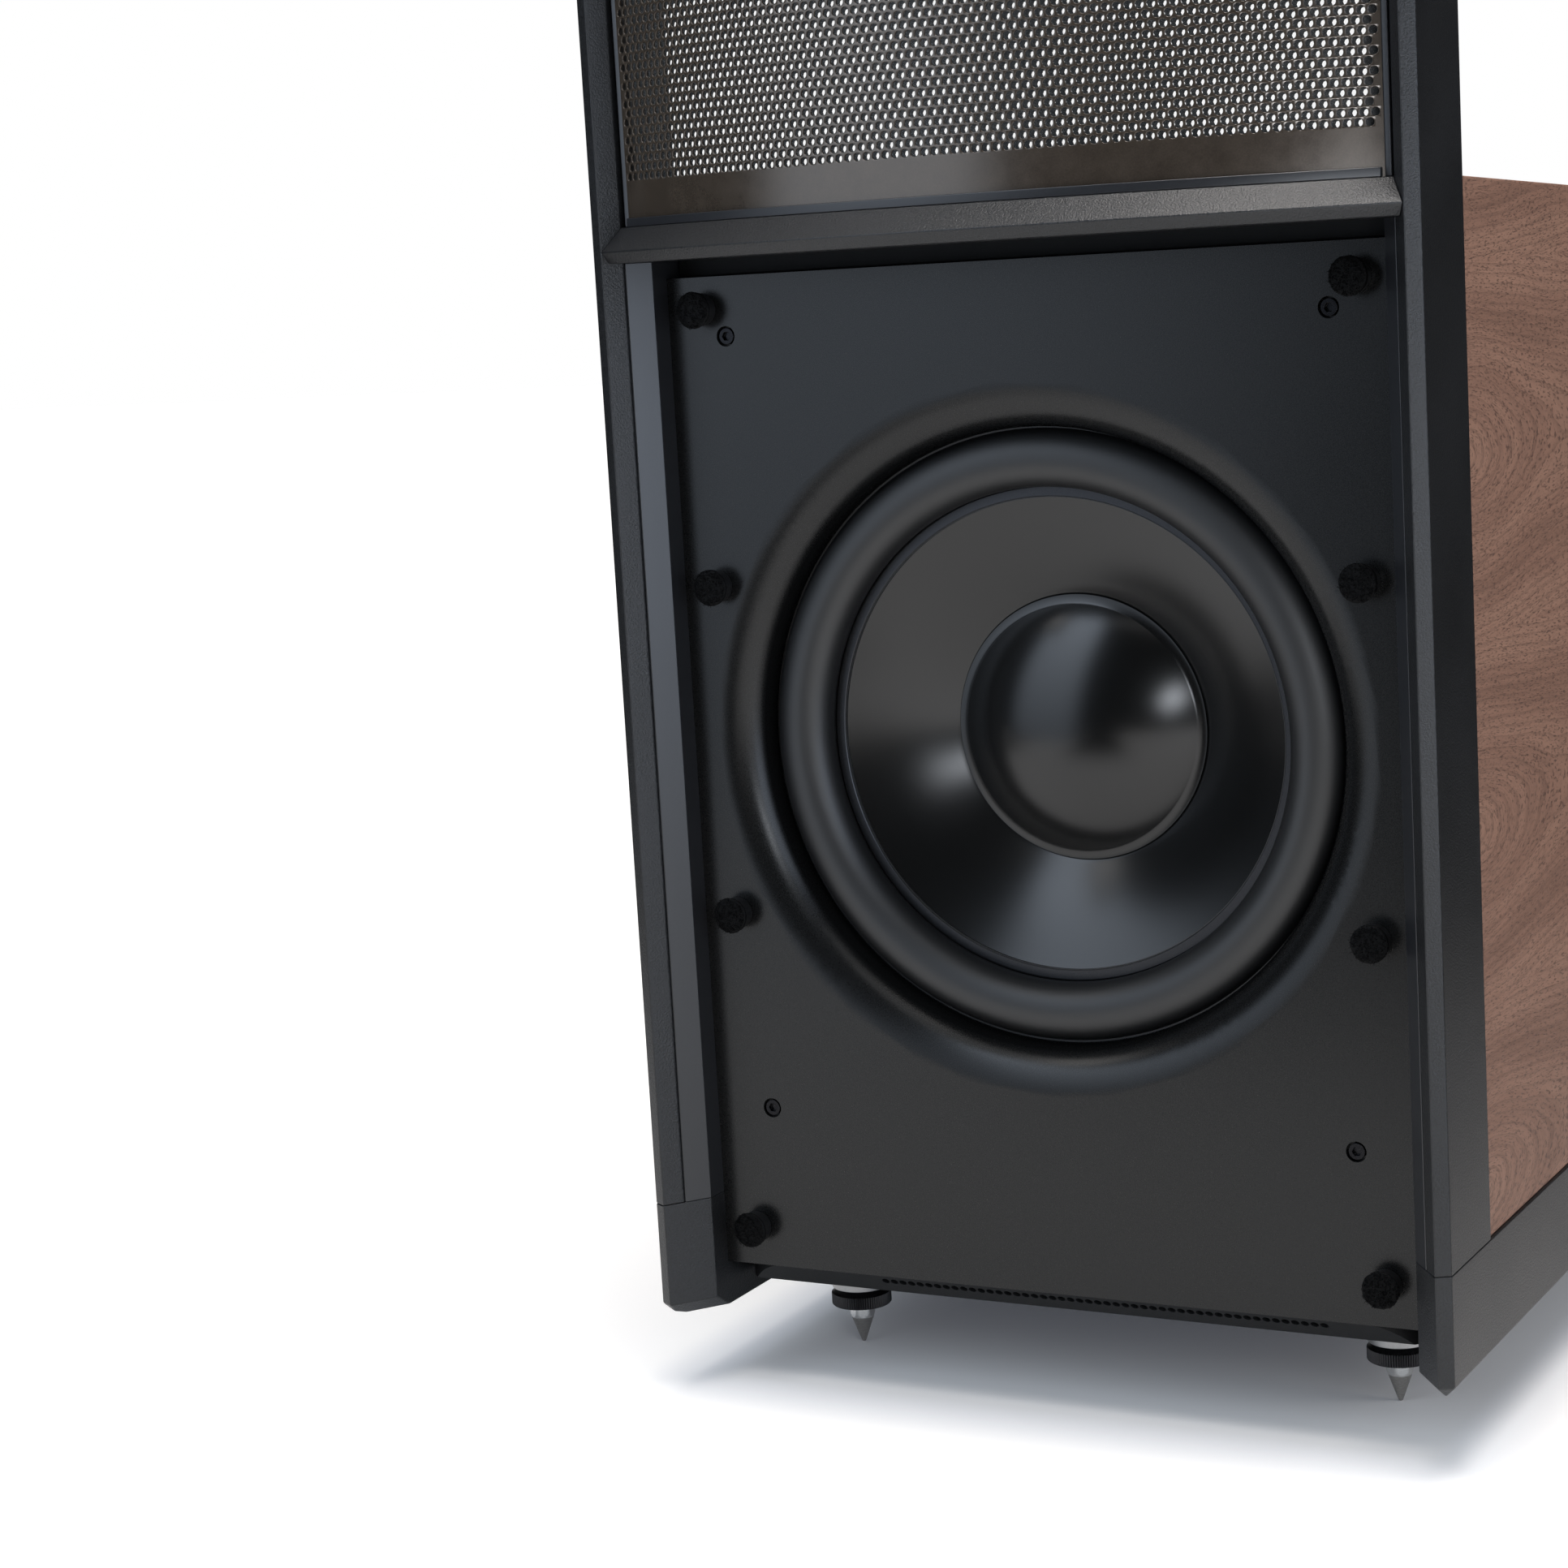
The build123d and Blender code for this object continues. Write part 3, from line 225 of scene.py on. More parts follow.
class NodeTree:
    """A tree of shader nodes that is built up by calls, most of which give back an output."""

    def __init__(self, tree):
        self.tree = tree
        tree.nodes.clear()

    def add(self, kind, inputs=None, **options):
        """A new node with these options, its inputs set to values or linked to sockets."""
        node = self.tree.nodes.new(kind)
        for option, value in options.items():
            setattr(node, option, value)
        for socket, value in (inputs or {}).items():
            self.feed(node, socket, value)
        return node

    def feed(self, node, socket, value):
        if isinstance(value, bpy.types.NodeSocket):
            self.tree.links.new(value, node.inputs[socket])
        else:
            node.inputs[socket].default_value = value

    def math(self, operation, a, b=0.0):
        return self.add("ShaderNodeMath", {0: a, 1: b}, operation=operation).outputs[0]

    def weighted(self, a, a_share, b, b_share):
        """Two values added up in shares."""
        return self.math("ADD", self.math("MULTIPLY", a, a_share), self.math("MULTIPLY", b, b_share))

    def hypotenuse(self, a, b):
        return self.math("SQRT", self.math("ADD", self.math("POWER", a, 2.0), self.math("POWER", b, 2.0)))

    def spread(self, value, low, high, start=0.0, end=1.0):
        """A value from start..end carried over to low..high."""
        inputs = {"Value": value, "From Min": start, "From Max": end, "To Min": low, "To Max": high}
        return self.add("ShaderNodeMapRange", inputs).outputs[0]

    def faded(self, along, share):
        """1 in the middle of a unit length, falling to 0 over a share of it at both ends."""
        return self.spread(self.math("PINGPONG", along, 0.5), 0.0, 1.0, 0.0, share)

    def ramp(self, value, *stops):
        """Colours at places along a value."""
        node = self.add("ShaderNodeValToRGB", {"Fac": value})
        elements = node.color_ramp.elements
        while len(elements) < len(stops):
            elements.new(0.5)
        for element, (position, color) in zip(elements, stops):
            element.position = position
            element.color = (*color, 1.0)
        return node.outputs["Color"]

    def mix(self, factor, a, b):
        """One colour turning into another."""
        node = self.add("ShaderNodeMix", data_type="RGBA")
        for socket, value in zip((0, 6, 7), (factor, a, b)):
            self.feed(node, socket, (*value, 1.0) if isinstance(value, tuple) else value)
        return node.outputs[2]

    def seen(self):
        """1 for what the camera, gloss and clear pieces see, 0 for the light that falls on things."""
        path = self.add("ShaderNodeLightPath").outputs
        shown = path["Is Camera Ray"]
        for kind in ("Is Glossy Ray", "Is Transmission Ray"):
            shown = self.math("MAXIMUM", shown, path[kind])
        return shown


class Look(NodeTree):
    """One procedural material: a Principled shader and the nodes that feed it."""

    def __init__(self, name, **sockets):
        self.material = bpy.data.materials.new(name)
        self.material.use_nodes = True
        super().__init__(self.material.node_tree)
        self.shader = self.add("ShaderNodeBsdfPrincipled")
        self.add("ShaderNodeOutputMaterial", {0: self.shader.outputs[0]})
        self.place = self.add("ShaderNodeTexCoord").outputs["Object"]
        for socket, value in sockets.items():
            self.set(socket.replace("_", " "), value)

    def set(self, socket, value):
        self.feed(self.shader, socket, value)

    def axes(self):
        """The place along X, Y and Z."""
        return self.add("ShaderNodeSeparateXYZ", {0: self.place}).outputs

    def stretched(self, scale):
        """Coordinates stretched by a factor along each axis."""
        return self.add("ShaderNodeMapping", {"Vector": self.place, "Scale": scale}).outputs[0]

    def noise(self, scale, detail=2.0, roughness=0.5, place=None):
        inputs = {"Vector": place or self.place, "Scale": scale, "Detail": detail, "Roughness": roughness}
        return self.add("ShaderNodeTexNoise", inputs).outputs["Fac"]

    def wave(self, scale, distortion, axis):
        """Even bands along an axis."""
        inputs = {"Vector": self.place, "Scale": scale, "Distortion": distortion}
        return self.add("ShaderNodeTexWave", inputs, bands_direction=axis).outputs["Fac"]

    def bump(self, height, distance):
        """Feeds the shader's normal from a height; the distance is in millimetres."""
        inputs = {"Height": height, "Distance": distance * MM, "Strength": 1.0}
        self.set("Normal", self.add("ShaderNodeBump", inputs).outputs[0])

    def skin(self, dark, light, rough, grain, depth):
        """A faintly clouded texture: grain is its size and depth its height, in millimetres."""
        fine = self.noise(1 / (grain * MM), 3.0, 0.6)
        blend = self.weighted(fine, 0.75, self.noise(14.0), 0.25)
        self.set("Base Color", self.ramp(blend, (0.3, dark), (0.7, light)))
        self.set("Roughness", self.spread(blend, *rough, 0.3, 0.7))
        self.bump(fine, depth)


def painted(name, dark, light, rough, grain, depth, metallic=0.0, specular=0.5):
    """A paint or moulded skin."""
    look = Look(name, Metallic=metallic, Specular_IOR_Level=specular)
    look.skin(dark, light, rough, grain, depth)
    return look.material


def baffle_lacquer():
    """Satin black lacquer whose gloss fades out inside the woofers' mouths, a painted shade there."""
    look = Look("baffle_lacquer")
    look.skin((0.0028, 0.0029, 0.0030), (0.0042, 0.0043, 0.0045), (0.25, 0.31), 0.8, 0.01)
    along = look.axes()["Y"]
    inward = look.math("SUBTRACT", along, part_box("front_baffle")[0].y)
    rearward = look.math("SUBTRACT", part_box("rear_baffle")[1].y, along)
    depth = look.math("MINIMUM", inward, rearward)
    # Painted shade: the deeper into a mouth, the less the lacquer reflects
    mouth_shade = look.spread(depth, 0.0, 1.0, MOUTH_SHADE_START * MM, MOUTH_SHADE_FULL * MM)
    look.set("Specular IOR Level", look.spread(mouth_shade, 0.34, 0.02))
    return look.material


def walnut():
    """Walnut veneer: growth rings about a column of eyes at the front edge, and fine dark pores."""
    look = Look("walnut", Specular_IOR_Level=0.25)
    eye_height = 466 * MM
    eye_gap = 172 * MM
    eye_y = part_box("rail_right")[1].y - 6 * MM
    eye_length = 105 * MM
    ring_ratio = 2.6
    ring_pitch = 11 * MM
    sway_reach = 16 * MM
    ripple_reach = 4 * MM
    axes = look.axes()
    sway = look.noise(9.0, 2.0, 0.5, look.stretched((1.0, 0.5, 1.6)))
    ripple = look.noise(45.0, 2.0, 0.5, look.stretched((1.0, 0.4, 1.6)))
    rise = look.math("PINGPONG", look.math("SUBTRACT", axes["Z"], eye_height), eye_gap / 2)
    across = look.math("MULTIPLY", rise, ring_ratio)
    along = look.math("DIVIDE", look.math("SUBTRACT", axes["Y"], eye_y), eye_length)
    along = look.math("MULTIPLY", look.math("TANH", along), eye_length)
    reach = look.hypotenuse(across, along)
    swayed = look.spread(sway, -sway_reach, sway_reach)
    rippled = look.spread(ripple, -ripple_reach, ripple_reach)
    wander = look.math("ADD", swayed, rippled)
    ring = look.math("ADD", reach, wander)
    year = look.math("FRACT", look.math("DIVIDE", ring, ring_pitch))
    slow = {0: ring, 1: look.math("MULTIPLY", axes["Y"], 0.1), 2: axes["X"]}
    rings = look.add("ShaderNodeCombineXYZ", slow).outputs[0]
    bands = look.noise(24.0, 3.0, 0.55, rings)
    lines = look.noise(210.0, 3.0, 0.65, rings)
    dash = {0: ring, 1: look.math("MULTIPLY", axes["Y"], 0.35), 2: look.math("MULTIPLY", axes["Z"], 0.6)}
    pores = look.noise(640.0, 2.0, 0.6, look.add("ShaderNodeCombineXYZ", dash).outputs[0])
    tone = look.ramp(
        bands,
        (0.28, (0.172, 0.092, 0.064)),
        (0.46, (0.216, 0.117, 0.082)),
        (0.60, (0.252, 0.141, 0.099)),
        (0.76, (0.200, 0.107, 0.075)),
    )
    late = look.spread(look.math("POWER", year, 5.0), 0.0, 0.46)
    tone = look.mix(late, tone, (0.085, 0.046, 0.034))
    tone = look.mix(look.spread(lines, 0.0, 0.35, 0.45, 0.7), tone, (0.110, 0.060, 0.044))
    pits = look.spread(pores, 0.75, 0.0, 0.36, 0.47)
    tone = look.mix(pits, tone, (0.060, 0.033, 0.025))
    look.set("Base Color", tone)
    look.set("Roughness", look.spread(lines, 0.48, 0.60))
    look.bump(look.math("SUBTRACT", look.math("MULTIPLY", lines, 0.3), pits), 0.08)
    return look.material


def stator_coat():
    """Thick glossy dark coat of the front stator, faintly mottled."""
    look = Look("stator_coat", Specular_IOR_Level=0.78, Specular_Tint=(1.0, 0.91, 0.83, 1.0))
    blotch = look.noise(90.0, 4.0, 0.65)
    speck = look.noise(1400.0, 2.0, 0.5)
    mottle = look.weighted(blotch, 0.6, speck, 0.4)
    dark, light = (0.030, 0.0232, 0.0178), (0.043, 0.0335, 0.0258)
    look.set("Base Color", look.ramp(mottle, (0.35, dark), (0.65, light)))
    look.set("Roughness", look.spread(mottle, 0.15, 0.21, 0.35, 0.65))
    look.bump(speck, 0.006)
    return look.material


def clear_plastic(name, tint, alpha):
    """Clear film or strip, with faint streaks."""
    look = Look(name, Roughness=0.12)
    streak = look.noise(30.0, 2.0, 0.5, look.stretched((1.0, 1.0, 0.1)))
    shade = tuple(0.85 * value for value in tint)
    look.set("Base Color", look.ramp(streak, (0.3, shade), (0.7, tint)))
    look.set("Alpha", look.spread(streak, 0.8 * alpha, alpha))
    return look.material


def metal(name, dark, light, rough, grain=0.5, stretch=(1.0, 1.0, 1.0)):
    """Bare or plated metal with a fine drawn or ground grain."""
    look = Look(name, Metallic=1.0)
    lines = look.noise(1 / (grain * MM), 2.0, 0.6, look.stretched(stretch))
    look.set("Base Color", look.ramp(lines, (0.3, dark), (0.7, light)))
    look.set("Roughness", look.spread(lines, *rough, 0.3, 0.7))
    look.bump(lines, 0.01)
    return look.material


def woven(name, dark, light, thread):
    """Treated cloth with a plain weave."""
    look = Look(name, Roughness=0.85)
    warp, weft = (look.wave(0.32 / (thread * MM), 1.0, axis) for axis in ("X", "Z"))
    weave = look.math("MULTIPLY", warp, weft)
    look.set("Base Color", look.ramp(weave, (0.0, dark), (0.6, light)))
    look.bump(weave, 0.15)
    return look.material


def wound(name):
    """Enamelled copper wire, wound side by side."""
    look = Look(name, Metallic=1.0)
    wires = look.wave(260.0, 0.4, "Z")
    look.set("Base Color", look.ramp(wires, (0.0, (0.16, 0.06, 0.025)), (0.6, (0.60, 0.28, 0.13))))
    look.set("Roughness", look.spread(wires, 0.45, 0.28))
    look.bump(wires, 0.25)
    return look.material


LOOKS = {
    "powder_coat": painted(
        "sand_coat", (0.002, 0.0021, 0.0024), (0.012, 0.0127, 0.0143),
        (0.34, 0.46), 1.0, 0.35, specular=0.45
    ),
    "trim_black": painted(
        "smooth_trim", (0.010, 0.0106, 0.0125), (0.014, 0.0148, 0.0175), (0.30, 0.36), 0.9, 0.008
    ),
    "walnut": walnut(),
    "baffle_black": baffle_lacquer(),
    "cabinet_black": painted(
        "cabinet_paint", (0.0045, 0.0047, 0.005), (0.0085, 0.0088, 0.0095),
        (0.5, 0.62), 0.7, 0.05, specular=0.16
    ),
    "stator": stator_coat(),
    "film": clear_plastic("clear_film", (0.82, 0.84, 0.86), 0.06),
    "clear_spacer": clear_plastic("clear_strip", (0.80, 0.82, 0.84), 0.25),
    "seal": painted("edge_seal", (0.020, 0.0215, 0.025), (0.027, 0.0285, 0.033), (0.32, 0.40), 1.2, 0.01),
    "cone_metal": painted(
        "black_anodised", (0.0024, 0.0024, 0.0024), (0.0036, 0.0036, 0.0036),
        (0.20, 0.25), 0.4, 0.003, specular=0.48
    ),
    "surround_rubber": painted(
        "butyl_rubber", (0.0016, 0.0017, 0.0020), (0.0030, 0.0032, 0.0038),
        (0.45, 0.52), 0.6, 0.012, specular=0.66
    ),
    "spider_cloth": woven("spider_cloth", (0.30, 0.20, 0.075), (0.56, 0.40, 0.18), 0.5),
    "copper": wound("copper_wire"),
    "basket_metal": painted(
        "cast_paint", (0.018, 0.0185, 0.02), (0.032, 0.033, 0.036), (0.45, 0.6), 0.9, 0.06
    ),
    "ferrite": painted("ferrite", (0.030, 0.030, 0.032), (0.050, 0.050, 0.052), (0.6, 0.75), 0.5, 0.04),
    "motor_steel": metal("plated_steel", (0.44, 0.45, 0.46), (0.58, 0.59, 0.60), (0.28, 0.4)),
    "black_screw": metal("black_oxide", (0.010, 0.010, 0.011), (0.022, 0.022, 0.024), (0.22, 0.32), 0.3),
    "post_plastic": painted(
        "post_plastic", (0.005, 0.005, 0.0055), (0.009, 0.009, 0.0098), (0.4, 0.5), 0.5, 0.02, specular=0.2
    ),
    "hook_pad": painted(
        "hook_fibre", (0.0010, 0.0010, 0.0011), (0.0056, 0.0056, 0.0059),
        (0.45, 0.6), 0.8, 0.03, specular=0.06
    ),
    "amp_metal": painted(
        "anodised_plate", (0.018, 0.018, 0.02), (0.028, 0.028, 0.031),
        (0.36, 0.46), 0.4, 0.015, metallic=0.5
    ),
    "board": painted("circuit_board", (0.010, 0.050, 0.022), (0.020, 0.085, 0.038), (0.4, 0.5), 3.0, 0.03),
    "inlet_plastic": painted(
        "inlet_plastic", (0.014, 0.014, 0.015), (0.022, 0.022, 0.024), (0.42, 0.52), 0.6, 0.02
    ),
    "knob_plastic": painted(
        "knob_plastic", (0.016, 0.016, 0.017), (0.026, 0.026, 0.028), (0.45, 0.55), 0.6, 0.03
    ),
    "gold_contact": metal("gold_plate", (0.78, 0.52, 0.20), (0.92, 0.66, 0.30), (0.16, 0.26)),
    "cap_black": painted("black_cap", (0.010, 0.010, 0.011), (0.016, 0.016, 0.017), (0.2, 0.3), 0.8, 0.01),
    "cap_red": painted("red_cap", (0.32, 0.010, 0.010), (0.44, 0.018, 0.016), (0.2, 0.3), 0.8, 0.01),
    "core_steel": metal(
        "laminations", (0.16, 0.16, 0.17), (0.34, 0.34, 0.35), (0.4, 0.55), 0.5, (0.05, 1.0, 0.05)
    ),
    "boss_metal": metal("machined_boss", (0.30, 0.30, 0.30), (0.42, 0.42, 0.42), (0.34, 0.46), 0.3),
    "spike_steel": metal("polished_steel", (0.27, 0.267, 0.26), (0.37, 0.366, 0.357), (0.12, 0.20), 0.3),
    "ring_black": metal("blackened_ring", (0.030, 0.030, 0.032), (0.055, 0.055, 0.058), (0.32, 0.44), 0.4),
}

# The rear sheet is painted far darker than the front one: painted shade for the dim gap between the sheets,
# seen through the front holes
SHADED_REAR_COAT = painted(
    "rear_coat_painted_shade", (0.0022, 0.0020, 0.0018), (0.0040, 0.0036, 0.0032), (0.34, 0.42), 0.8, 0.01, specular=0.25
)
TRIM_RING_LOOK = metal("satin_ring", (0.034, 0.035, 0.038), (0.050, 0.051, 0.055), (0.34, 0.42), 0.4)


def dressed(mesh, look, smooth):
    """A mesh as an object of its name in one look, smooth up to an angle in degrees."""
    mesh.materials.clear()
    mesh.materials.append(look)
    mesh.polygons.foreach_set("use_smooth", np.ones(len(mesh.polygons), bool))
    mesh.set_sharp_from_angle(angle=math.radians(smooth))
    made = bpy.data.objects.new(mesh.name, mesh)
    bpy.context.scene.collection.objects.link(made)
    return made


def piece(mesh, node, smooth=SMOOTH_ANGLE, look=None, soft=False):
    """A mesh as a piece that stands for a CAD node, in its slot's look or one of its own.

    It rides on the node's body unless it is soft.
    """
    made = dressed(mesh, look or LOOKS[SLOT_OF[node]], smooth)
    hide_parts(node)
    if not soft:
        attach(made, BODY_OF[node])
    return made


def extra(mesh, look, body):
    """A mesh as a piece that the CAD doesn't have, on a body."""
    made = dressed(mesh, look, SMOOTH_ANGLE)
    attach(made, body)


def opened(mesh):
    """A copy of a mesh for editing, with its loose corners joined."""
    shape = bmesh.new()
    shape.from_mesh(mesh)
    bmesh.ops.remove_doubles(shape, verts=shape.verts, dist=WELD * MM)
    return shape


def closed(shape, mesh):
    """A mesh filled from an edited one."""
    shape.to_mesh(mesh)
    shape.free()
    return mesh


def array_mesh(name, points, faces):
    """A mesh from an array of points and lists of face arrays, each array with one corner count."""
    mesh = bpy.data.meshes.new(name)
    corners = np.concatenate([face.reshape(-1) for face in faces]).astype(np.int32)
    counts = np.concatenate([np.full(len(face), face.shape[1]) for face in faces])
    starts = np.concatenate([[0], np.cumsum(counts)[:-1]]).astype(np.int32)
    mesh.vertices.add(len(points))
    mesh.vertices.foreach_set("co", np.asarray(points, np.float32).reshape(-1))
    mesh.loops.add(len(corners))
    mesh.loops.foreach_set("vertex_index", corners)
    mesh.polygons.add(len(counts))
    mesh.polygons.foreach_set("loop_start", starts)
    mesh.update(calc_edges=True)
    return mesh


def turns(count):
    """Angles of equal steps round a circle."""
    return 2 * math.pi * np.arange(count) / count


def ring_quads(count, around, joined=False):
    """Quads between rings of points, each to the next one, and the last to the first if joined."""
    at = np.arange(around)
    to = (at + 1) % around
    quads = []
    for ring in range(count if joined else count - 1):
        here, over = around * ring, around * ((ring + 1) % count)
        quads.append(np.stack([at + here, to + here, to + over, at + over], -1))
    return np.concatenate(quads)


def eased(node, width):
    """A CAD node with its sharp edges rounded by a width in millimetres."""
    shape = opened(nodes[node].data)
    bmesh.ops.dissolve_limit(
        shape, angle_limit=math.radians(FLAT_ANGLE), verts=shape.verts, edges=shape.edges
    )
    sharp = [edge for edge in shape.edges if edge.calc_face_angle(0) > math.radians(SHARP_ANGLE)]
    rounding = {"segments": EASE_SEGMENTS, "profile": 0.5, "affect": "EDGES", "clamp_overlap": True}
    bmesh.ops.bevel(shape, geom=sharp, offset=width * MM, **rounding)
    made = piece(closed(shape, bpy.data.meshes.new(f"{node}_eased")), node)
    flat = made.modifiers.new("flats", "WEIGHTED_NORMAL")
    flat.keep_sharp = True


# Widths of the rounding
EASED_EDGES = {
    "rail_left": 0.7,
    "rail_right": 0.7,
    "cross_bar": 0.7,
    "top_bar": 0.7,
    "plinth_left": 0.7,
    "plinth_right": 0.7,
    "bay_trims": 0.5,
    "panel_seals": 0.6,
    "panel_retainers": 0.5,
    "side_left": 1.6,
    "side_right": 1.6,
    "cabinet_top": 1.2,
    "rear_baffle": 0.8,
    "front_baffle": 1.0,
    "amp_plate": 0.5,
    "amp_heatsink": 0.3,
    "mains_inlet": 0.4,
    "bass_knob": 0.6,
    "baffle_screws": 0.35,
    "grille_posts": 0.5,
    "spike_bosses": 0.5,
}
for node, width in EASED_EDGES.items():
    eased(node, width)


front_low, front_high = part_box("front_stator")
STATOR_RADIUS = front_high.x / math.sin(math.radians(PANEL_HALF_ANGLE))
PANEL_AXIS_Y = front_low.y + STATOR_RADIUS
REAR_RADIUS = PANEL_AXIS_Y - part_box("rear_stator")[0].y
EDGE_ANGLE = math.radians(PANEL_HALF_ANGLE + SEAL_OVERLAP)
ROW_HEIGHT = HOLE_PITCH * MM * math.sqrt(3) / 2

# A bent sheet's radius in metres, the pitch, shift, bend and radius of its holes, and its look
Sheet = namedtuple("Sheet", "radius pitch shift bend hole look")


def sheet_point(radius, angle, height):
    """Points on a sheet bent about the panel's upright axis."""
    angle, height = np.broadcast_arrays(angle, height)
    return np.stack([radius * np.sin(angle), PANEL_AXIS_Y - radius * np.cos(angle), height], -1)


def column_angles(sheet):
    """Angles of the sheet's edges and, between them, of every half column of holes.

    The pitch and the shift are measured on the sheet's own arc, and the bend lets the pitch
    grow a little from one edge to the other.
    """
    step = sheet.pitch * MM / 2 / sheet.radius
    start = sheet.shift * MM / sheet.radius
    columns = 2 * int((EDGE_ANGLE - abs(start)) / step / 2 - EDGE_CLEAR) + 1
    half = (2 * columns + 1) * step / 2
    inner = start - half + step * np.arange(2 * columns + 2)
    across = np.concatenate([[-EDGE_ANGLE], inner, [EDGE_ANGLE]])
    return across + sheet.bend * (across**2 - EDGE_ANGLE**2)


def web(outer, holes, sides, flip):
    """Faces between the six grid points round each hole and the hole's own ring of points."""
    corner = math.atan2(math.sqrt(3) / 2, 1.0)
    outer_turn = np.array([-math.pi + corner, -math.pi / 2, -corner, corner, math.pi / 2, math.pi - corner])
    anchor = np.round((outer_turn + math.pi / 2) / (2 * math.pi) * sides).astype(int) % sides
    faces = []
    for side in range(6):
        after = (side + 1) % 6
        count = (anchor[after] - anchor[side]) % sides
        inner = (anchor[after] - np.arange(count + 1)) % sides
        face = np.concatenate([outer[:, [side, after]], holes + inner[None, :]], 1)
        faces.append(face[:, ::-1] if flip else face)
    return faces


def perforated_band(name, node, sheet, heights, row_shift, sides, rim, low_edge, high_edge):
    """Part of a stator: rows of round holes between two heights, closed all round."""
    front, back = sheet.radius, sheet.radius - SHEET_THICKNESS * MM
    across = column_angles(sheet)
    wide = len(across)
    columns = wide // 2 - 2
    rows = len(heights) - 1
    below, above = ([edge] if edge else [] for edge in (low_edge, high_edge))
    lines = np.array([*below, *heights, *above])
    first = len(below)

    # Points: both faces' grids, then the rings of every hole from the front to the back
    row, column = np.meshgrid(np.arange(rows), np.arange(columns), indexing="ij")
    left = 1 + 2 * column + (row + row_shift) % 2
    middle_angle = across[left + 1]
    middle_height = (heights[:-1] + heights[1:])[row] / 2
    turn = turns(sides) - math.pi / 2

    def ring(radius, reach):
        angle = middle_angle[..., None] + reach * MM / front * np.cos(turn)
        height = middle_height[..., None] + reach * MM * np.sin(turn)
        return sheet_point(radius, angle, height).reshape(-1, 3)

    parts = [sheet_point(depth, across[None, :], lines[:, None]).reshape(-1, 3) for depth in (front, back)]
    parts.append(ring(front, sheet.hole + rim))
    if rim:
        parts.append(ring(front - RIM_ROUND * rim * MM, sheet.hole + RIM_ROUND * rim))
        parts.append(ring(front - rim * MM, sheet.hole))
    parts.append(ring(back, sheet.hole))
    starts = np.concatenate([[0], np.cumsum([len(part) for part in parts])])

    # Faces round the holes and down their walls
    low = (first + row) * wide + left
    corners = [low, low + 1, low + 2, low + wide + 2, low + wide + 1, low + wide]
    outer = np.stack(corners, -1).reshape(-1, 6)
    holes = np.arange(rows * columns)[:, None] * sides
    faces = web(starts[0] + outer, starts[2] + holes, sides, False)
    faces += web(starts[1] + outer, starts[-2] + holes, sides, True)
    spoke = np.arange(sides)
    beside = (spoke + 1) % sides
    for hoop, deeper in zip(starts[2:-2], starts[3:-1]):
        upper, lower = hoop + holes, deeper + holes
        wall = np.stack([upper + spoke, upper + beside, lower + beside, lower + spoke], -1)
        faces.append(wall.reshape(-1, 4))

    # Plain cells beside the holes and, at the sheet's ends, below or above them
    solid = [(line, at) for at in (0, wide - 2) for line in range(rows)]
    solid += [(line, 1 if (line + row_shift) % 2 else wide - 3) for line in range(rows)]
    solid = [(line + first, at) for line, at in solid]
    ends = [0] * len(below) + [len(lines) - 2] * len(above)
    solid += [(line, at) for line in ends for at in range(wide - 1)]
    place = np.array([line * wide + at for line, at in solid])
    quad = np.stack([place, place + 1, place + wide + 1, place + wide], -1)
    faces += [quad, starts[1] + quad[:, ::-1]]

    # The sheet's four edges
    bottom = np.arange(wide)
    top = bottom + (len(lines) - 1) * wide
    upright = np.arange(len(lines)) * wide
    for edge in (bottom[::-1], top, upright, (upright + wide - 1)[::-1]):
        faces.append(np.stack([edge[:-1], edge[1:], starts[1] + edge[1:], starts[1] + edge[:-1]], -1))

    mesh = array_mesh(name, np.concatenate(parts), faces)
    piece(mesh, node, STATOR_SMOOTH, sheet.look)


def perforated_stator(node, sheet, fine_bands):
    """A whole stator in bands, with finer holes in the lowest ones."""
    low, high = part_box(node)
    rows = int((high.z - low.z - 2 * PANEL_MARGIN * MM) / ROW_HEIGHT)
    start = 0.5 * (low.z + high.z - rows * ROW_HEIGHT)
    heights = start + ROW_HEIGHT * np.arange(rows + 1)
    columns = 2 * EDGE_ANGLE * sheet.radius / MM / sheet.pitch
    plain_rows = rows - fine_bands * FINE_BAND_ROWS
    hole_faces = 4 * PLAIN_SIDES + 12
    plain_bands = math.ceil(plain_rows * columns * hole_faces / BAND_FACES)
    cuts = [FINE_BAND_ROWS * band for band in range(fine_bands)]
    cuts += [rows - round(plain_rows * left / plain_bands) for left in range(plain_bands, -1, -1)]
    for band, (begin, end) in enumerate(zip(cuts[:-1], cuts[1:])):
        name = f"{node}_band_{band}"
        sides, rim = (FINE_SIDES, HOLE_RIM) if band < fine_bands else (PLAIN_SIDES, 0)
        edges = (low.z if begin == 0 else None, high.z if end == rows else None)
        perforated_band(name, node, sheet, heights[begin:end + 1], begin % 2, sides, rim, *edges)


FRONT_SHEET = Sheet(STATOR_RADIUS, HOLE_PITCH, 0.0, 0.0, HOLE_RADIUS, LOOKS["stator"])
REAR_SHEET = Sheet(REAR_RADIUS, REAR_PITCH, REAR_SHIFT, REAR_BEND, REAR_HOLE_RADIUS, SHADED_REAR_COAT)
perforated_stator("front_stator", FRONT_SHEET, FINE_BANDS)
perforated_stator("rear_stator", REAR_SHEET, 0)


def arc(centre, radius, start, end, count):
    """Points (radius, depth) round a circle, from one angle to another in degrees."""
    angles = np.radians(np.linspace(start, end, count))
    return [(centre[0] + radius * math.cos(a), centre[1] - radius * math.sin(a)) for a in angles]


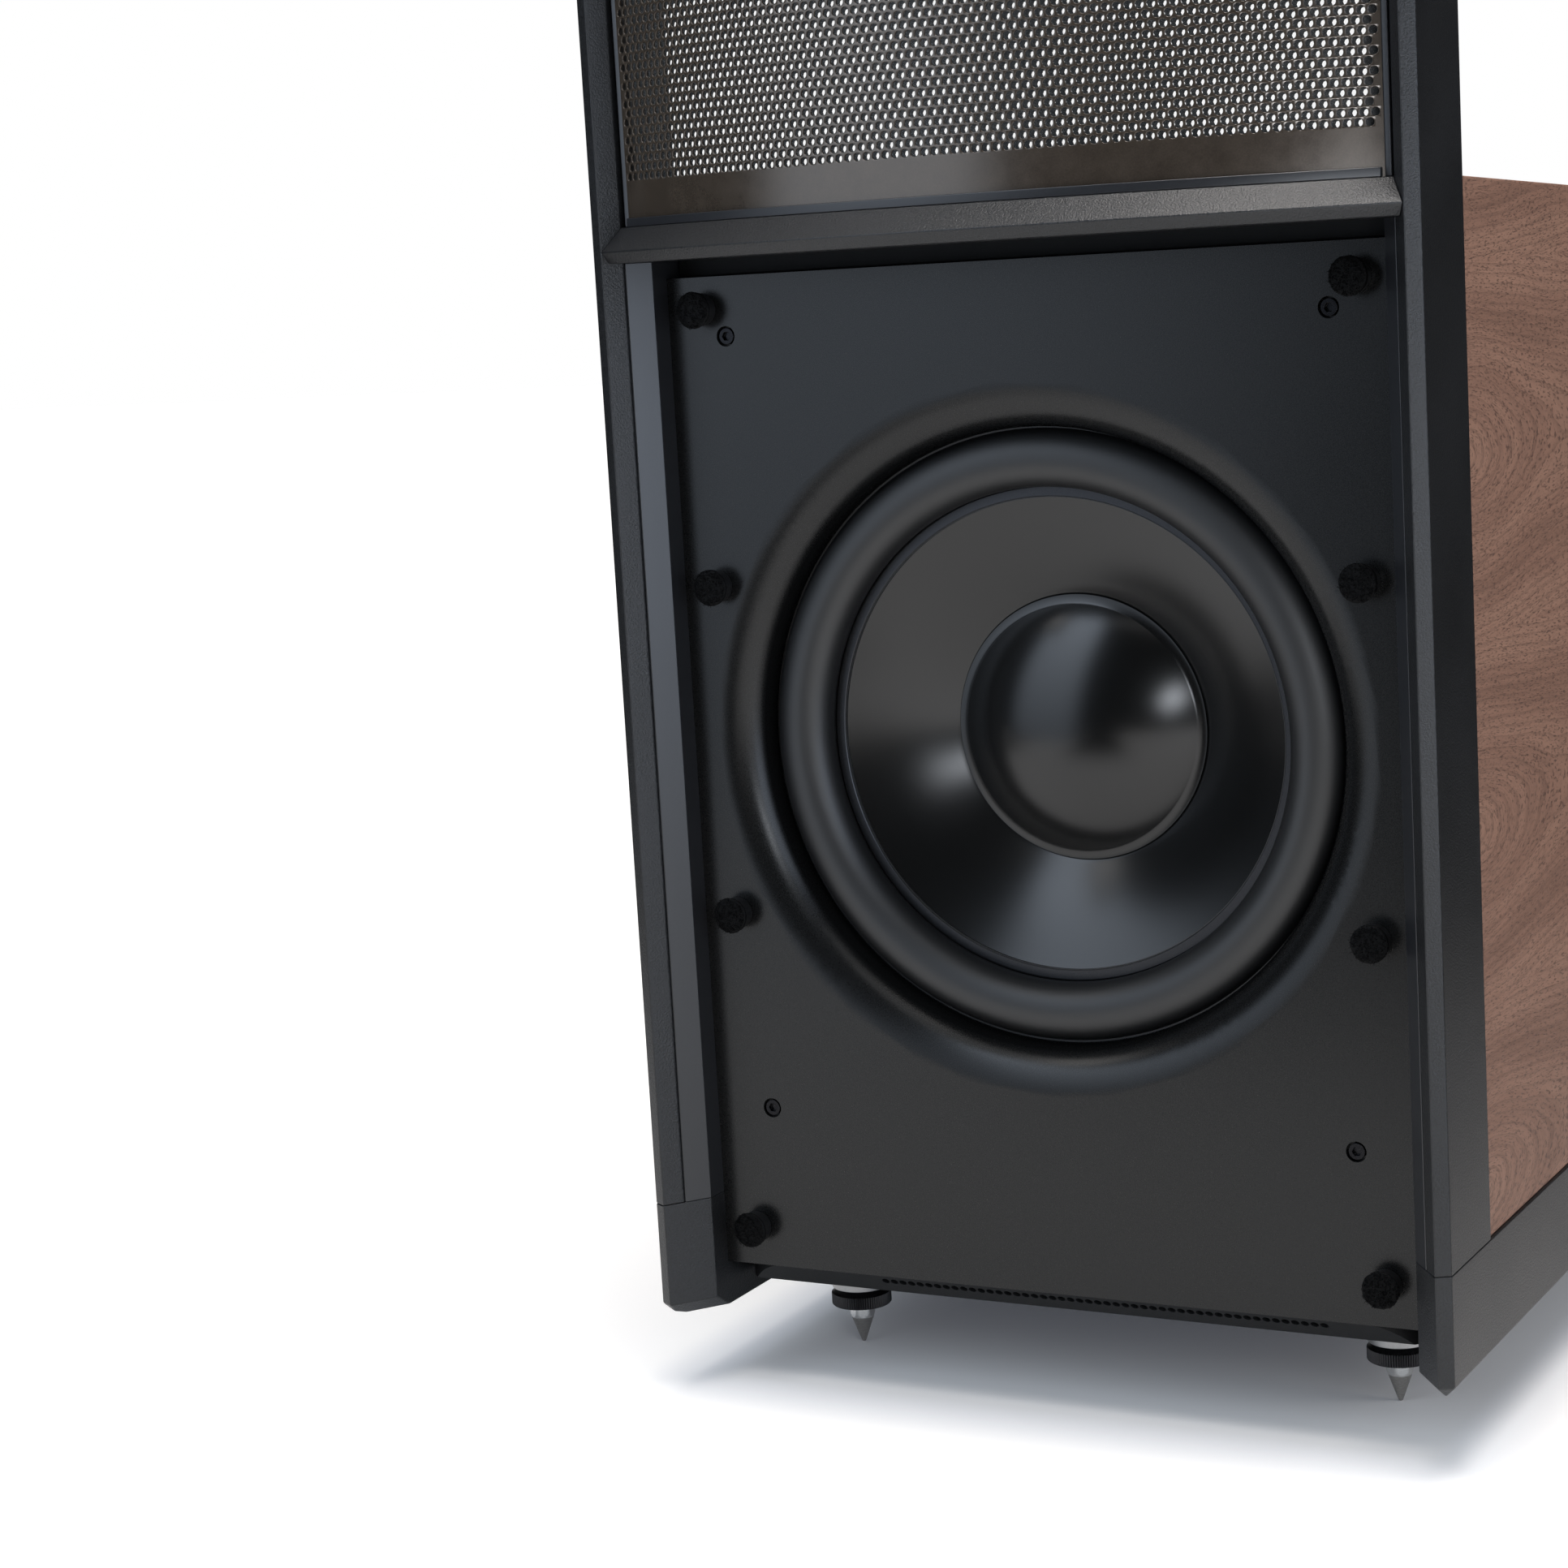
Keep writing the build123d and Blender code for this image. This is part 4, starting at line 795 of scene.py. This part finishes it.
def lathe(name, profile, node, face_y, outward):
    """A closed section of (radius, depth) points turned about a woofer's axis."""
    low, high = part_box(node)
    centre_z = 0.5 * (low.z + high.z)
    section = np.array(profile) * MM
    turn = turns(LATHE_STEPS)
    x = section[:, 0][None, :] * np.cos(turn)[:, None]
    z = section[:, 0][None, :] * np.sin(turn)[:, None] + centre_z
    y = np.broadcast_to(face_y - outward * section[:, 1], x.shape)
    points = np.stack([x, y, z], -1).reshape(-1, 3)
    mesh = array_mesh(name, points, [ring_quads(LATHE_STEPS, len(section), True)])
    shape = opened(mesh)
    bmesh.ops.recalc_face_normals(shape, faces=shape.faces)
    return closed(shape, mesh)


def surround_profile():
    """Half-roll with its outer landing and the inner foot glued on the cone's rim."""
    foot = RIM_DEPTH - RUBBER
    first = 180 - math.degrees(math.asin((ROLL_DEPTH - foot - RUBBER / 2) / ROLL_RADIUS))
    last = math.degrees(math.asin((ROLL_DEPTH - LANDING_DEPTH - RUBBER / 2) / ROLL_RADIUS))

    def roll(inset, start, end):
        """Round the roll, which is a little wider outside its crest than inside."""
        around = []
        for angle in np.radians(np.linspace(start, end, ROLL_POINTS)):
            reach = (ROLL_OUTER if math.cos(angle) > 0 else ROLL_RADIUS) - inset
            rise = (ROLL_RADIUS - inset) * math.sin(angle)
            around.append((ROLL_CENTRE + reach * math.cos(angle), ROLL_DEPTH - rise))
        return around

    return (
        [(LANDING_RADIUS, LANDING_DEPTH)]
        + roll(0.0, last, first)
        + [(RIM_RADIUS, foot), (RIM_INNER, foot), (RIM_INNER, RIM_DEPTH)]
        + [(RIM_RADIUS + FOOT_LAP, RIM_DEPTH)]
        + roll(RUBBER, first, last)
        + [(LANDING_RADIUS, LANDING_DEPTH + RUBBER)]
    )


def trim_ring_profile():
    """Narrow satin ring pressed over the surround's foot, with eased edges."""
    outer, inner = RIM_RADIUS + TRIM_OUTSET, RIM_INNER + TRIM_INSET
    base = RIM_DEPTH - RUBBER
    top = base - TRIM_RING
    return [
        (outer, base),
        (outer, top + TRIM_EASE),
        (outer - TRIM_EASE, top),
        (inner + TRIM_EASE, top),
        (inner, top + TRIM_EASE),
        (inner, base),
    ]


def cone_profile():
    """Flat rim, a fine groove, a trumpet flare and a neck that ends at the voice coil."""
    face = [
        (RIM_RADIUS, RIM_DEPTH),
        (RIM_INNER + RIM_GROOVE, RIM_DEPTH),
        (RIM_INNER, RIM_DEPTH + RIM_GROOVE),
    ]
    for share in np.linspace(0, 1, CONE_POINTS):
        sag = CONE_FLARE * math.sin(math.pi * share)
        depth = RIM_DEPTH + share * (BREAK_DEPTH - RIM_DEPTH) + sag
        face.append((RIM_INNER + share * (BREAK_RADIUS - RIM_INNER), depth))
    face.append((NECK_RADIUS, NECK_DEPTH))
    return face + [(radius, depth + CONE_THICKNESS) for radius, depth in reversed(face)]


def cap_profile():
    """Convex cap on a narrow flat ring."""
    base = BREAK_DEPTH - CAP_THICKNESS
    sphere = (CAP_RADIUS**2 + CAP_RISE**2) / (2 * CAP_RISE)
    centre = (0.0, base - CAP_RISE + sphere)
    edge = math.degrees(math.acos(CAP_RADIUS / sphere))
    outer = arc(centre, sphere, 90, edge, CAP_POINTS)
    inside = sphere - CAP_THICKNESS
    inner_edge = math.degrees(math.asin((centre[1] - BREAK_DEPTH) / inside))
    inner = arc(centre, inside, inner_edge, 90, CAP_POINTS)
    ring = CAP_RADIUS + CAP_RING
    return outer + [(ring, base), (ring, BREAK_DEPTH)] + inner


def spider_profile():
    """Corrugated disc from the voice coil out to the basket's ledge."""
    upper = []
    for share in np.linspace(0, 1, WAVE_POINTS * SPIDER_WAVES + 1):
        lift = SPIDER_HEIGHT * (0.5 - 0.5 * math.cos(2 * math.pi * SPIDER_WAVES * share))
        radius = SPIDER_INNER + share * (SPIDER_WAVE_END - SPIDER_INNER)
        upper.append((radius, SPIDER_DEPTH - SPIDER_CLOTH - lift))
    upper.append((SPIDER_OUTER, SPIDER_DEPTH - SPIDER_CLOTH))
    return upper + [(radius, depth + SPIDER_CLOTH) for radius, depth in reversed(upper)]


def stretch_across(made):
    """Bakes a soft ring's placement into its mesh."""
    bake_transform(made)


def woofer(side, face_y, outward):
    """The visible pieces of one woofer."""
    for part, profile in (("cone", cone_profile()), ("dust_cap", cap_profile())):
        node = f"{side}_{part}"
        piece(lathe(f"{node}_turned", profile, node, face_y, outward), node)
    for part, profile, outer, inner in (
        ("surround", surround_profile(), ROLL_CENTRE + ROLL_OUTER, ROLL_CENTRE - ROLL_RADIUS),
        ("spider", spider_profile(), SPIDER_WAVE_END, SPIDER_INNER),
    ):
        node = f"{side}_{part}"
        made = piece(lathe(f"{node}_soft", profile, node, face_y, outward), node, soft=True)
        stretch_across(made)
    ring = lathe(f"{side}_trim_ring", trim_ring_profile(), f"{side}_cone", face_y, outward)
    extra(ring, TRIM_RING_LOOK, f"{side}_cone_assembly")


woofer("front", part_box("front_baffle")[0].y, -1)
woofer("rear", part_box("rear_baffle")[1].y, 1)


def islands(node):
    """Boxes of the separate solids in a CAD node."""
    shape = opened(nodes[node].data)
    boxes, seen = [], set()
    for seed in shape.verts:
        if seed in seen:
            continue
        group = [seed]
        seen.add(seed)
        for vertex in group:
            beside = [edge.other_vert(vertex) for edge in vertex.link_edges]
            fresh = [other for other in beside if other not in seen]
            seen.update(fresh)
            group += fresh
        places = np.array([vertex.co for vertex in group])
        boxes.append((Vector(places.min(0)), Vector(places.max(0))))
    shape.free()
    return boxes


def pad_core(draw, centre, radius, back, depth):
    """Points, quads and triangles of a pad's domed core with its ragged edge."""
    points = []
    for reach, rise in PAD_HOOPS:
        for angle in turns(PAD_STEPS):
            ragged = radius * reach * (1 + draw.uniform(-PAD_RAGGED, PAD_RAGGED))
            x, z = centre.x + ragged * math.cos(angle), centre.z + ragged * math.sin(angle)
            points.append((x, back - rise * depth, z))
    triangles = []
    for rise, hoop, flip in ((PAD_CROWN, len(PAD_HOOPS) - 1, False), (0.0, 0, True)):
        points.append((centre.x, back - rise * depth, centre.z))
        tip = len(points) - 1
        for turn in range(PAD_STEPS):
            a = hoop * PAD_STEPS + turn
            b = hoop * PAD_STEPS + (turn + 1) % PAD_STEPS
            triangles.append((b, a, tip) if flip else (a, b, tip))
    return points, ring_quads(len(PAD_HOOPS), PAD_STEPS), np.array(triangles)


def fibre(draw, centre, radius, back, depth):
    """Points, quads and end faces of one short fibre, bent over from a place on a pad."""
    angle = draw.uniform(0, 2 * math.pi)
    reach = radius * math.sqrt(draw.uniform(0, 1)) * FIBRE_FIELD
    lean = draw.uniform(0, 2 * math.pi)
    bend = math.pi * draw.uniform(*FIBRE_BEND)
    length = FIBRE_LENGTH * MM * draw.uniform(FIBRE_SHORTEST, 1.0)
    x, z = centre.x + reach * math.cos(angle), centre.z + reach * math.sin(angle)
    root = Vector((x, back - FIBRE_ROOT * depth, z))
    side = Vector((math.cos(lean), 0, math.sin(lean)))
    cross = Vector((-math.sin(lean), 0, math.cos(lean)))
    points = []
    for step in range(FIBRE_STEPS):
        curl = bend * step / (FIBRE_STEPS - 1)
        up = min(length * math.sin(curl) / bend, FIBRE_CLEAR * depth + FIBRE_RISE * MM)
        out = length * (1 - math.cos(curl)) / bend
        middle = root + side * out - Vector((0, up, 0))
        along = Vector((0, -math.cos(curl), 0)) + side * math.sin(curl)
        normal = along.cross(cross)
        for turn in turns(FIBRE_SIDES):
            spoke = cross * math.cos(turn) + normal * math.sin(turn)
            points.append(tuple(middle + FIBRE_RADIUS * MM * spoke))
    last = range(len(points) - FIBRE_SIDES, len(points))
    ends = np.array([(0, *range(FIBRE_SIDES - 1, 0, -1)), last])
    return points, ring_quads(FIBRE_STEPS, FIBRE_SIDES), ends


def hook_pads():
    """Fuzzy hook-and-loop discs on the grille posts: a domed core under a nap of bent fibres."""
    draw = random.Random(PAD_SEED)
    points, quads, ends = [], [], []
    for low, high in islands("grille_pads"):
        pad = (0.5 * (low + high), 0.5 * (high.x - low.x) + PAD_NAP * MM, high.y, high.y - low.y)
        shapes = [pad_core(draw, *pad)] + [fibre(draw, *pad) for _ in range(FIBRES)]
        for shape_points, shape_quads, shape_ends in shapes:
            quads.append(shape_quads + len(points))
            ends.append(shape_ends + len(points))
            points += shape_points
    mesh = array_mesh("hook_pads", points, quads + ends)
    piece(mesh, "grille_pads", PAD_SMOOTH)


hook_pads()


def spike_metal(hex_low):
    """Turned steel: a satin point under a polished hexagon."""
    look = Look("turned_steel", Metallic=1.0)
    lines = look.noise(2600.0, 2.0, 0.6, look.stretched((0.2, 0.2, 1.0)))
    edge = SPIKE_POLISH * MM
    polished = look.spread(look.axes()["Z"], 0.0, 1.0, hex_low - edge, hex_low + edge)
    satin = look.ramp(lines, (0.3, (0.30, 0.288, 0.272)), (0.7, (0.40, 0.385, 0.365)))
    bright = look.ramp(lines, (0.3, (0.66, 0.65, 0.63)), (0.7, (0.76, 0.75, 0.73)))
    look.set("Base Color", look.mix(polished, satin, bright))
    look.set("Roughness", look.spread(polished, 0.36, 0.12))
    look.bump(lines, 0.01)
    return look.material


def stacked_rings(name, centre, rings, joined):
    """A mesh of rings round an upright axis, each a height and its radius or radii in metres.

    The last ring is joined to the first, as in a bored piece, or both ends are capped.
    """
    around, count = max(np.size(radii) for _, radii in rings), len(rings)
    points = [
        (centre.x + radius * math.cos(angle), centre.y + radius * math.sin(angle), height)
        for height, radii in rings
        for angle, radius in zip(turns(around), np.broadcast_to(radii, around))
    ]
    faces = [ring_quads(count, around, joined)]
    if not joined:
        at = np.arange(around)
        faces.append(np.stack([at[::-1], at + around * (count - 1)]))
    return array_mesh(name, points, faces)


def spike_rings(hex_low, hex_top, top):
    """Heights and radii of a spike in metres, from its tip to the end of its grooved shank."""
    turn = turns(SPIKE_STEPS)
    flats = SPIKE_FLATS / 2 / np.cos((turn + math.pi / 6) % (math.pi / 3) - math.pi / 6) * MM
    slope = (SPIKE_FLATS / 2 - SPIKE_POINT) * MM / hex_low
    cone = np.linspace(SPIKE_CONE_START * MM, hex_low, SPIKE_CONE_RINGS)
    corners = hex_low + np.linspace(*SPIKE_CORNER, SPIKE_CORNER_RINGS) * MM
    ridge, groove = SPIKE_SHANK * MM, (SPIKE_SHANK - SPIKE_THREAD) * MM
    lead = SPIKE_LEAD * MM
    rings = [(height * MM, share * SPIKE_POINT * MM) for height, share in SPIKE_TIP]
    for height in (*cone, *corners, hex_top):
        rings.append((height, np.minimum(flats, SPIKE_POINT * MM + slope * height)))
    height = hex_top
    rings.append((height, groove))
    while height + lead < top - lead:
        rings.append((height + 0.5 * lead, ridge))
        height += lead
        rings.append((height, groove))
    rings.append((top, groove))
    return rings


def spikes():
    """Feet: a grooved shank, a short hexagon for the spanner and a point turned into its corners."""
    for corner in CORNERS:
        node = f"spike_{corner}"
        low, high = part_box(node)
        hex_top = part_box(f"lock_ring_{corner}")[0].z - low.z
        hex_low = hex_top - SPIKE_HEX_HEIGHT * MM
        rings = spike_rings(hex_low, hex_top, high.z - low.z)
        rings = [(low.z + height, radii) for height, radii in rings]
        mesh = stacked_rings(f"{node}_turned", 0.5 * (low + high), rings, False)
        piece(mesh, node, SPIKE_SMOOTH, spike_metal(low.z + hex_low))


spikes()


def lock_rings():
    """Lock rings: a finely knurled band under a plain sloping shoulder, bored for the spike."""
    tooth = RING_CUT * np.tile(RING_TOOTH, RING_KNURLS)
    for corner in CORNERS:
        node = f"lock_ring_{corner}"
        low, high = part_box(node)
        outer = 0.5 * (high.x - low.x) / MM
        inner = outer - RING_STEP - RING_SLOPE
        tall = (high.z - low.z) / MM
        section = [
            (RING_BORE, 0.0, 0.0),
            (outer - RING_CHAMFER, 0.0, 0.0),
            (outer, RING_CHAMFER, tooth),
            (outer, RING_BAND, tooth),
            (outer - RING_STEP, RING_BAND + RING_LEDGE * RING_STEP, 0.0),
            (inner, tall - RING_CHAMFER, 0.0),
            (inner - RING_CHAMFER, tall, 0.0),
            (RING_BORE, tall, 0.0),
        ]
        rings = [(low.z + height * MM, (radius - cut) * MM) for radius, height, cut in section]
        mesh = stacked_rings(f"{node}_knurled", 0.5 * (low + high), rings, True)
        piece(mesh, node, RING_SMOOTH)


lock_rings()


def mains_pins():
    """Three flat contact blades inside the mains inlet."""
    low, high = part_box("mains_inlet")
    centre = 0.5 * (low + high)
    shape = bmesh.new()
    size = Matrix.Diagonal((*(length * MM for length in PIN_SIZE), 1))
    for x, z in PIN_PLACES:
        place = Matrix.Translation((centre.x + x * MM, low.y + PIN_SET * MM, centre.z + z * MM))
        bmesh.ops.create_cube(shape, size=1.0, matrix=place @ size)
    bmesh.ops.bevel(
        shape, geom=list(shape.edges), offset=PIN_EASE * MM, segments=EASE_SEGMENTS, affect="EDGES"
    )
    mesh = closed(shape, bpy.data.meshes.new("mains_pins"))
    extra(mesh, LOOKS["spike_steel"], "cabinet")


mains_pins()

# The CAD's own meshes, which show where nothing replaces them
for node, shown in nodes.items():
    shown.data.materials.clear()
    shown.data.materials.append(LOOKS[SLOT_OF[node]])


def surroundings():
    """White surroundings that light the object dimly."""
    world = bpy.data.worlds.new("studio")
    bpy.context.scene.world = world
    world.use_nodes = True
    sky = NodeTree(world.node_tree)
    shown = sky.seen()
    inputs = {"Color": sky.mix(shown, WORLD_TINT, WHITE), "Strength": sky.spread(shown, WORLD_LEVEL, 1.0)}
    back = sky.add("ShaderNodeBackground", inputs)
    sky.add("ShaderNodeOutputWorld", {0: back.outputs[0]})


def stage_plane(name, corners, look):
    """A flat four-cornered object of the studio."""
    mesh = bpy.data.meshes.new(name)
    mesh.from_pydata(corners, [], [(0, 1, 2, 3)])
    mesh.materials.append(look)
    made = bpy.data.objects.new(name, mesh)
    bpy.context.scene.collection.objects.link(made)
    return made


def floor():
    """A pale floor that glows more the farther it is from the base, which keeps the shadow; its dim bluish
    glow near the base is painted shade and painted bluish light in that shadow.
    """
    look = Look("floor", Roughness=0.9, Specular_IOR_Level=0.1)
    tone = look.noise(3.0, 2.0)
    look.set("Base Color", look.ramp(tone, (0.3, (0.82, 0.80, 0.785)), (0.7, (0.84, 0.82, 0.805))))
    low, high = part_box("base_plate")
    middle = 0.5 * (low + high)
    half = 0.5 * (high - low)
    axes = look.axes()
    beside = []
    for axis in (0, 1):
        off = look.math("ABSOLUTE", look.math("SUBTRACT", axes[axis], middle[axis]))
        beside.append(look.math("MAXIMUM", look.math("SUBTRACT", off, half[axis]), 0.0))
    away = look.hypotenuse(*beside)
    # Painted shade and bluish light: the glow is low and tinted blue near the base
    near = look.spread(away, SHADOW_GLOW, SHADOW_EDGE_GLOW, 0.0, SHADOW_EDGE)
    far = look.spread(away, 0.0, FLOOR_GLOW, SHADOW_EDGE, FLOOR_FAR)
    painted_shadow_fade = look.spread(away, 0.0, 1.0, 0.0, SHADOW_EDGE)
    look.set("Emission Color", look.mix(painted_shadow_fade, SHADOW_TINT, FLOOR_TINT))
    look.set("Emission Strength", look.math("MULTIPLY", look.seen(), look.math("ADD", near, far)))
    corners = [(x * FLOOR_REACH, y * FLOOR_REACH, 0) for x, y in ((-1, -1), (1, -1), (1, 1), (-1, 1))]
    stage_plane("floor", corners, look.material)


def screen(name, corner, across, up, look):
    """A flat studio screen that is seen only in gloss: a dark flag or the face of a soft light."""
    made = stage_plane(name, [(0, 0, 0), (1, 0, 0), (1, 1, 0), (0, 1, 0)], look)
    across, up = Vector(across), Vector(up)
    turn = Matrix((across, up, across.cross(up))).transposed().to_4x4()
    made.matrix_world = Matrix.Translation(corner) @ turn
    made.visible_camera = made.visible_diffuse = made.visible_shadow = False


def glow(name, tint, low, high, soft):
    """The face of a soft light: from one level to another upwards, fading at its sides and ends."""
    look = Look(
        name, Base_Color=(0.0, 0.0, 0.0, 1.0), Specular_IOR_Level=0.0, Emission_Color=(*tint, 1.0)
    )
    axes = look.axes()
    edges = look.math("MULTIPLY", *(look.faded(axes[axis], soft[axis]) for axis in (0, 1)))
    look.set("Emission Strength", look.math("MULTIPLY", edges, look.spread(axes[1], low, high)))
    return look.material


def floor_cloth():
    """Dark cloth that begins softly at a distance from the object and has soft sides."""
    look = Look(
        "floor_cloth", Base_Color=(0.012, 0.012, 0.012, 1.0), Roughness=0.95, Specular_IOR_Level=0.0
    )
    axes = look.axes()
    begins = look.spread(axes[1], 0.0, 1.0, 0.0, CLOTH_FADE)
    look.set("Alpha", look.math("MULTIPLY", look.faded(axes[0], CLOTH_FADE), begins))
    return look.material


def lamp(name, place, target, size, power, color):
    """A rectangular soft light aimed at a point, left out of the gloss, where the screens show instead."""
    data = bpy.data.lights.new(name, "AREA")
    data.shape = "RECTANGLE"
    data.size, data.size_y = size
    data.energy = power
    data.color = color
    made = bpy.data.objects.new(name, data)
    made.location = place
    made.rotation_euler = (Vector(target) - Vector(place)).to_track_quat("-Z", "Y").to_euler()
    made.visible_camera = made.visible_glossy = False
    bpy.context.scene.collection.objects.link(made)


def photo_camera():
    """The photograph's camera."""
    data = bpy.data.cameras.new("camera")
    data.sensor_width = SENSOR
    data.lens = SENSOR * FOCAL_PIXELS / PHOTO_PIXELS
    data.shift_x = (PHOTO_PIXELS / 2 - OPTICAL_CENTRE[0]) / PHOTO_PIXELS
    data.shift_y = (OPTICAL_CENTRE[1] - PHOTO_PIXELS / 2) / PHOTO_PIXELS
    data.clip_start = NEAR_CLIP
    made = bpy.data.objects.new("camera", data)
    place = Matrix.Translation(CAMERA_PLACE)
    for angle, axis in ((CAMERA_YAW, "Z"), (90 + CAMERA_PITCH, "X"), (CAMERA_ROLL, "Z")):
        place = place @ Matrix.Rotation(math.radians(angle), 4, axis)
    made.matrix_world = place
    bpy.context.scene.collection.objects.link(made)
    bpy.context.scene.camera = made


surroundings()
floor()

# Screens: a corner, the way across and the way up, in metres
FLAG_LOOK = painted(
    "flag_cloth", (0.010, 0.010, 0.010), (0.016, 0.016, 0.016), (0.9, 1.0), 2.0, 0.1, specular=0.1
)
screen("front_flag", (-3.0, -2.6, 0.0), (5.6, 0.0, 0.0), (0.0, 0.0, 3.2), FLAG_LOOK)
screen("left_flag", (-2.2, 2.6, 0.0), (0.0, -5.2, 0.0), (0.0, 0.0, 2.6), FLAG_LOOK)
screen("left_back_flag", (-1.1, 1.3, 0.0), (0.0, -1.4, 0.0), (0.0, 0.0, 1.6), FLAG_LOOK)
screen("back_flag", (0.0, 0.75, 0.0), (2.6, 0.0, 0.0), (0.0, 0.0, 3.2), FLAG_LOOK)
screen("right_flag", (2.6, -2.6, 0.0), (0.0, 3.35, 0.0), (0.0, 0.0, 3.2), FLAG_LOOK)
CLOTH_LOOK = floor_cloth()
screen("front_cloth", (-0.55, -0.9, 0.004), (0.85, 0.0, 0.0), (0.0, -1.7, 0.0), CLOTH_LOOK)
screen("left_cloth", (-0.85, 1.0, 0.005), (0.0, -2.4, 0.0), (-1.4, 0.0, 0.0), CLOTH_LOOK)
screen("right_cloth", (0.22, -0.45, 0.006), (0.0, 1.4, 0.0), (1.0, 0.0, 0.0), CLOTH_LOOK)
KEY_LOOK = glow("key_face", (0.88, 0.93, 1.0), 16.0, 16.0, (0.45, 0.45))
screen("key_face", (0.46, -0.908, 0.284), (0.213, 0.179, 0.195), (-0.105, -0.089, 0.197), KEY_LOOK)
LEFT_LOOK = glow("left_face", (0.76, 0.86, 1.0), 0.9, 5.2, (0.2, 0.05))
screen("left_face", (-1.655, -1.131, 0.0), (1.139, -0.858, 0.0), (0.703, -0.530, 3.0), LEFT_LOOK)
UPPER_LOOK = glow("upper_face", (1.0, 0.97, 0.94), 3.4, 3.4, (0.3, 0.3))
screen("upper_face", (-1.666, -0.845, 1.753), (0.503, -0.746, 0.0), (0.588, 0.396, 0.554), UPPER_LOOK)
RIGHT_LOOK = glow("right_face", (0.74, 0.84, 1.0), 4.6, 4.6, (0.2, 0.1))
screen("right_face", (1.75, -1.5, 0.0), (0.0, 1.15, 0.0), (0.0, 0.0, 1.5), RIGHT_LOOK)
TOP_LOOK = glow("top_face", (1.0, 0.96, 0.93), 24.0, 24.0, (0.2, 0.2))
screen("top_face", (-0.15, -1.0, 2.7), (1.35, 0.0, 0.0), (0.0, 1.4, 0.0), TOP_LOOK)

# Lamps: a place, a target and a size in metres, watts and a tint
lamp("key", (1.37, -1.91, 0.80), (0.0, -0.25, 0.3), (0.50, 0.56), 5.2, (0.90, 0.95, 1.0))
lamp("left_low", (-1.20, -1.85, 0.50), (0.0, -0.25, 0.50), (1.38, 0.96), 3.8, (0.78, 0.89, 1.0))
lamp("left_high", (-1.20, -1.85, 2.05), (0.0, -0.25, 2.05), (1.38, 2.1), 26.0, (0.76, 0.88, 1.0))
lamp("right", (1.75, -1.35, 0.75), (-0.2, -0.3, 0.4), (1.0, 1.3), 8.0, (0.80, 0.89, 1.0))
lamp("side", (2.3, 0.1, 0.75), (0.2, 0.0, 0.28), (1.2, 1.0), 13.5, (1.0, 0.98, 0.95))
lamp("top", (0.25, -0.5, 2.9), (0.1, -0.2, 0.0), (1.8, 1.4), 66.0, (1.0, 0.98, 0.965))
photo_camera()

bpy.context.scene.view_settings.view_transform = "Standard"
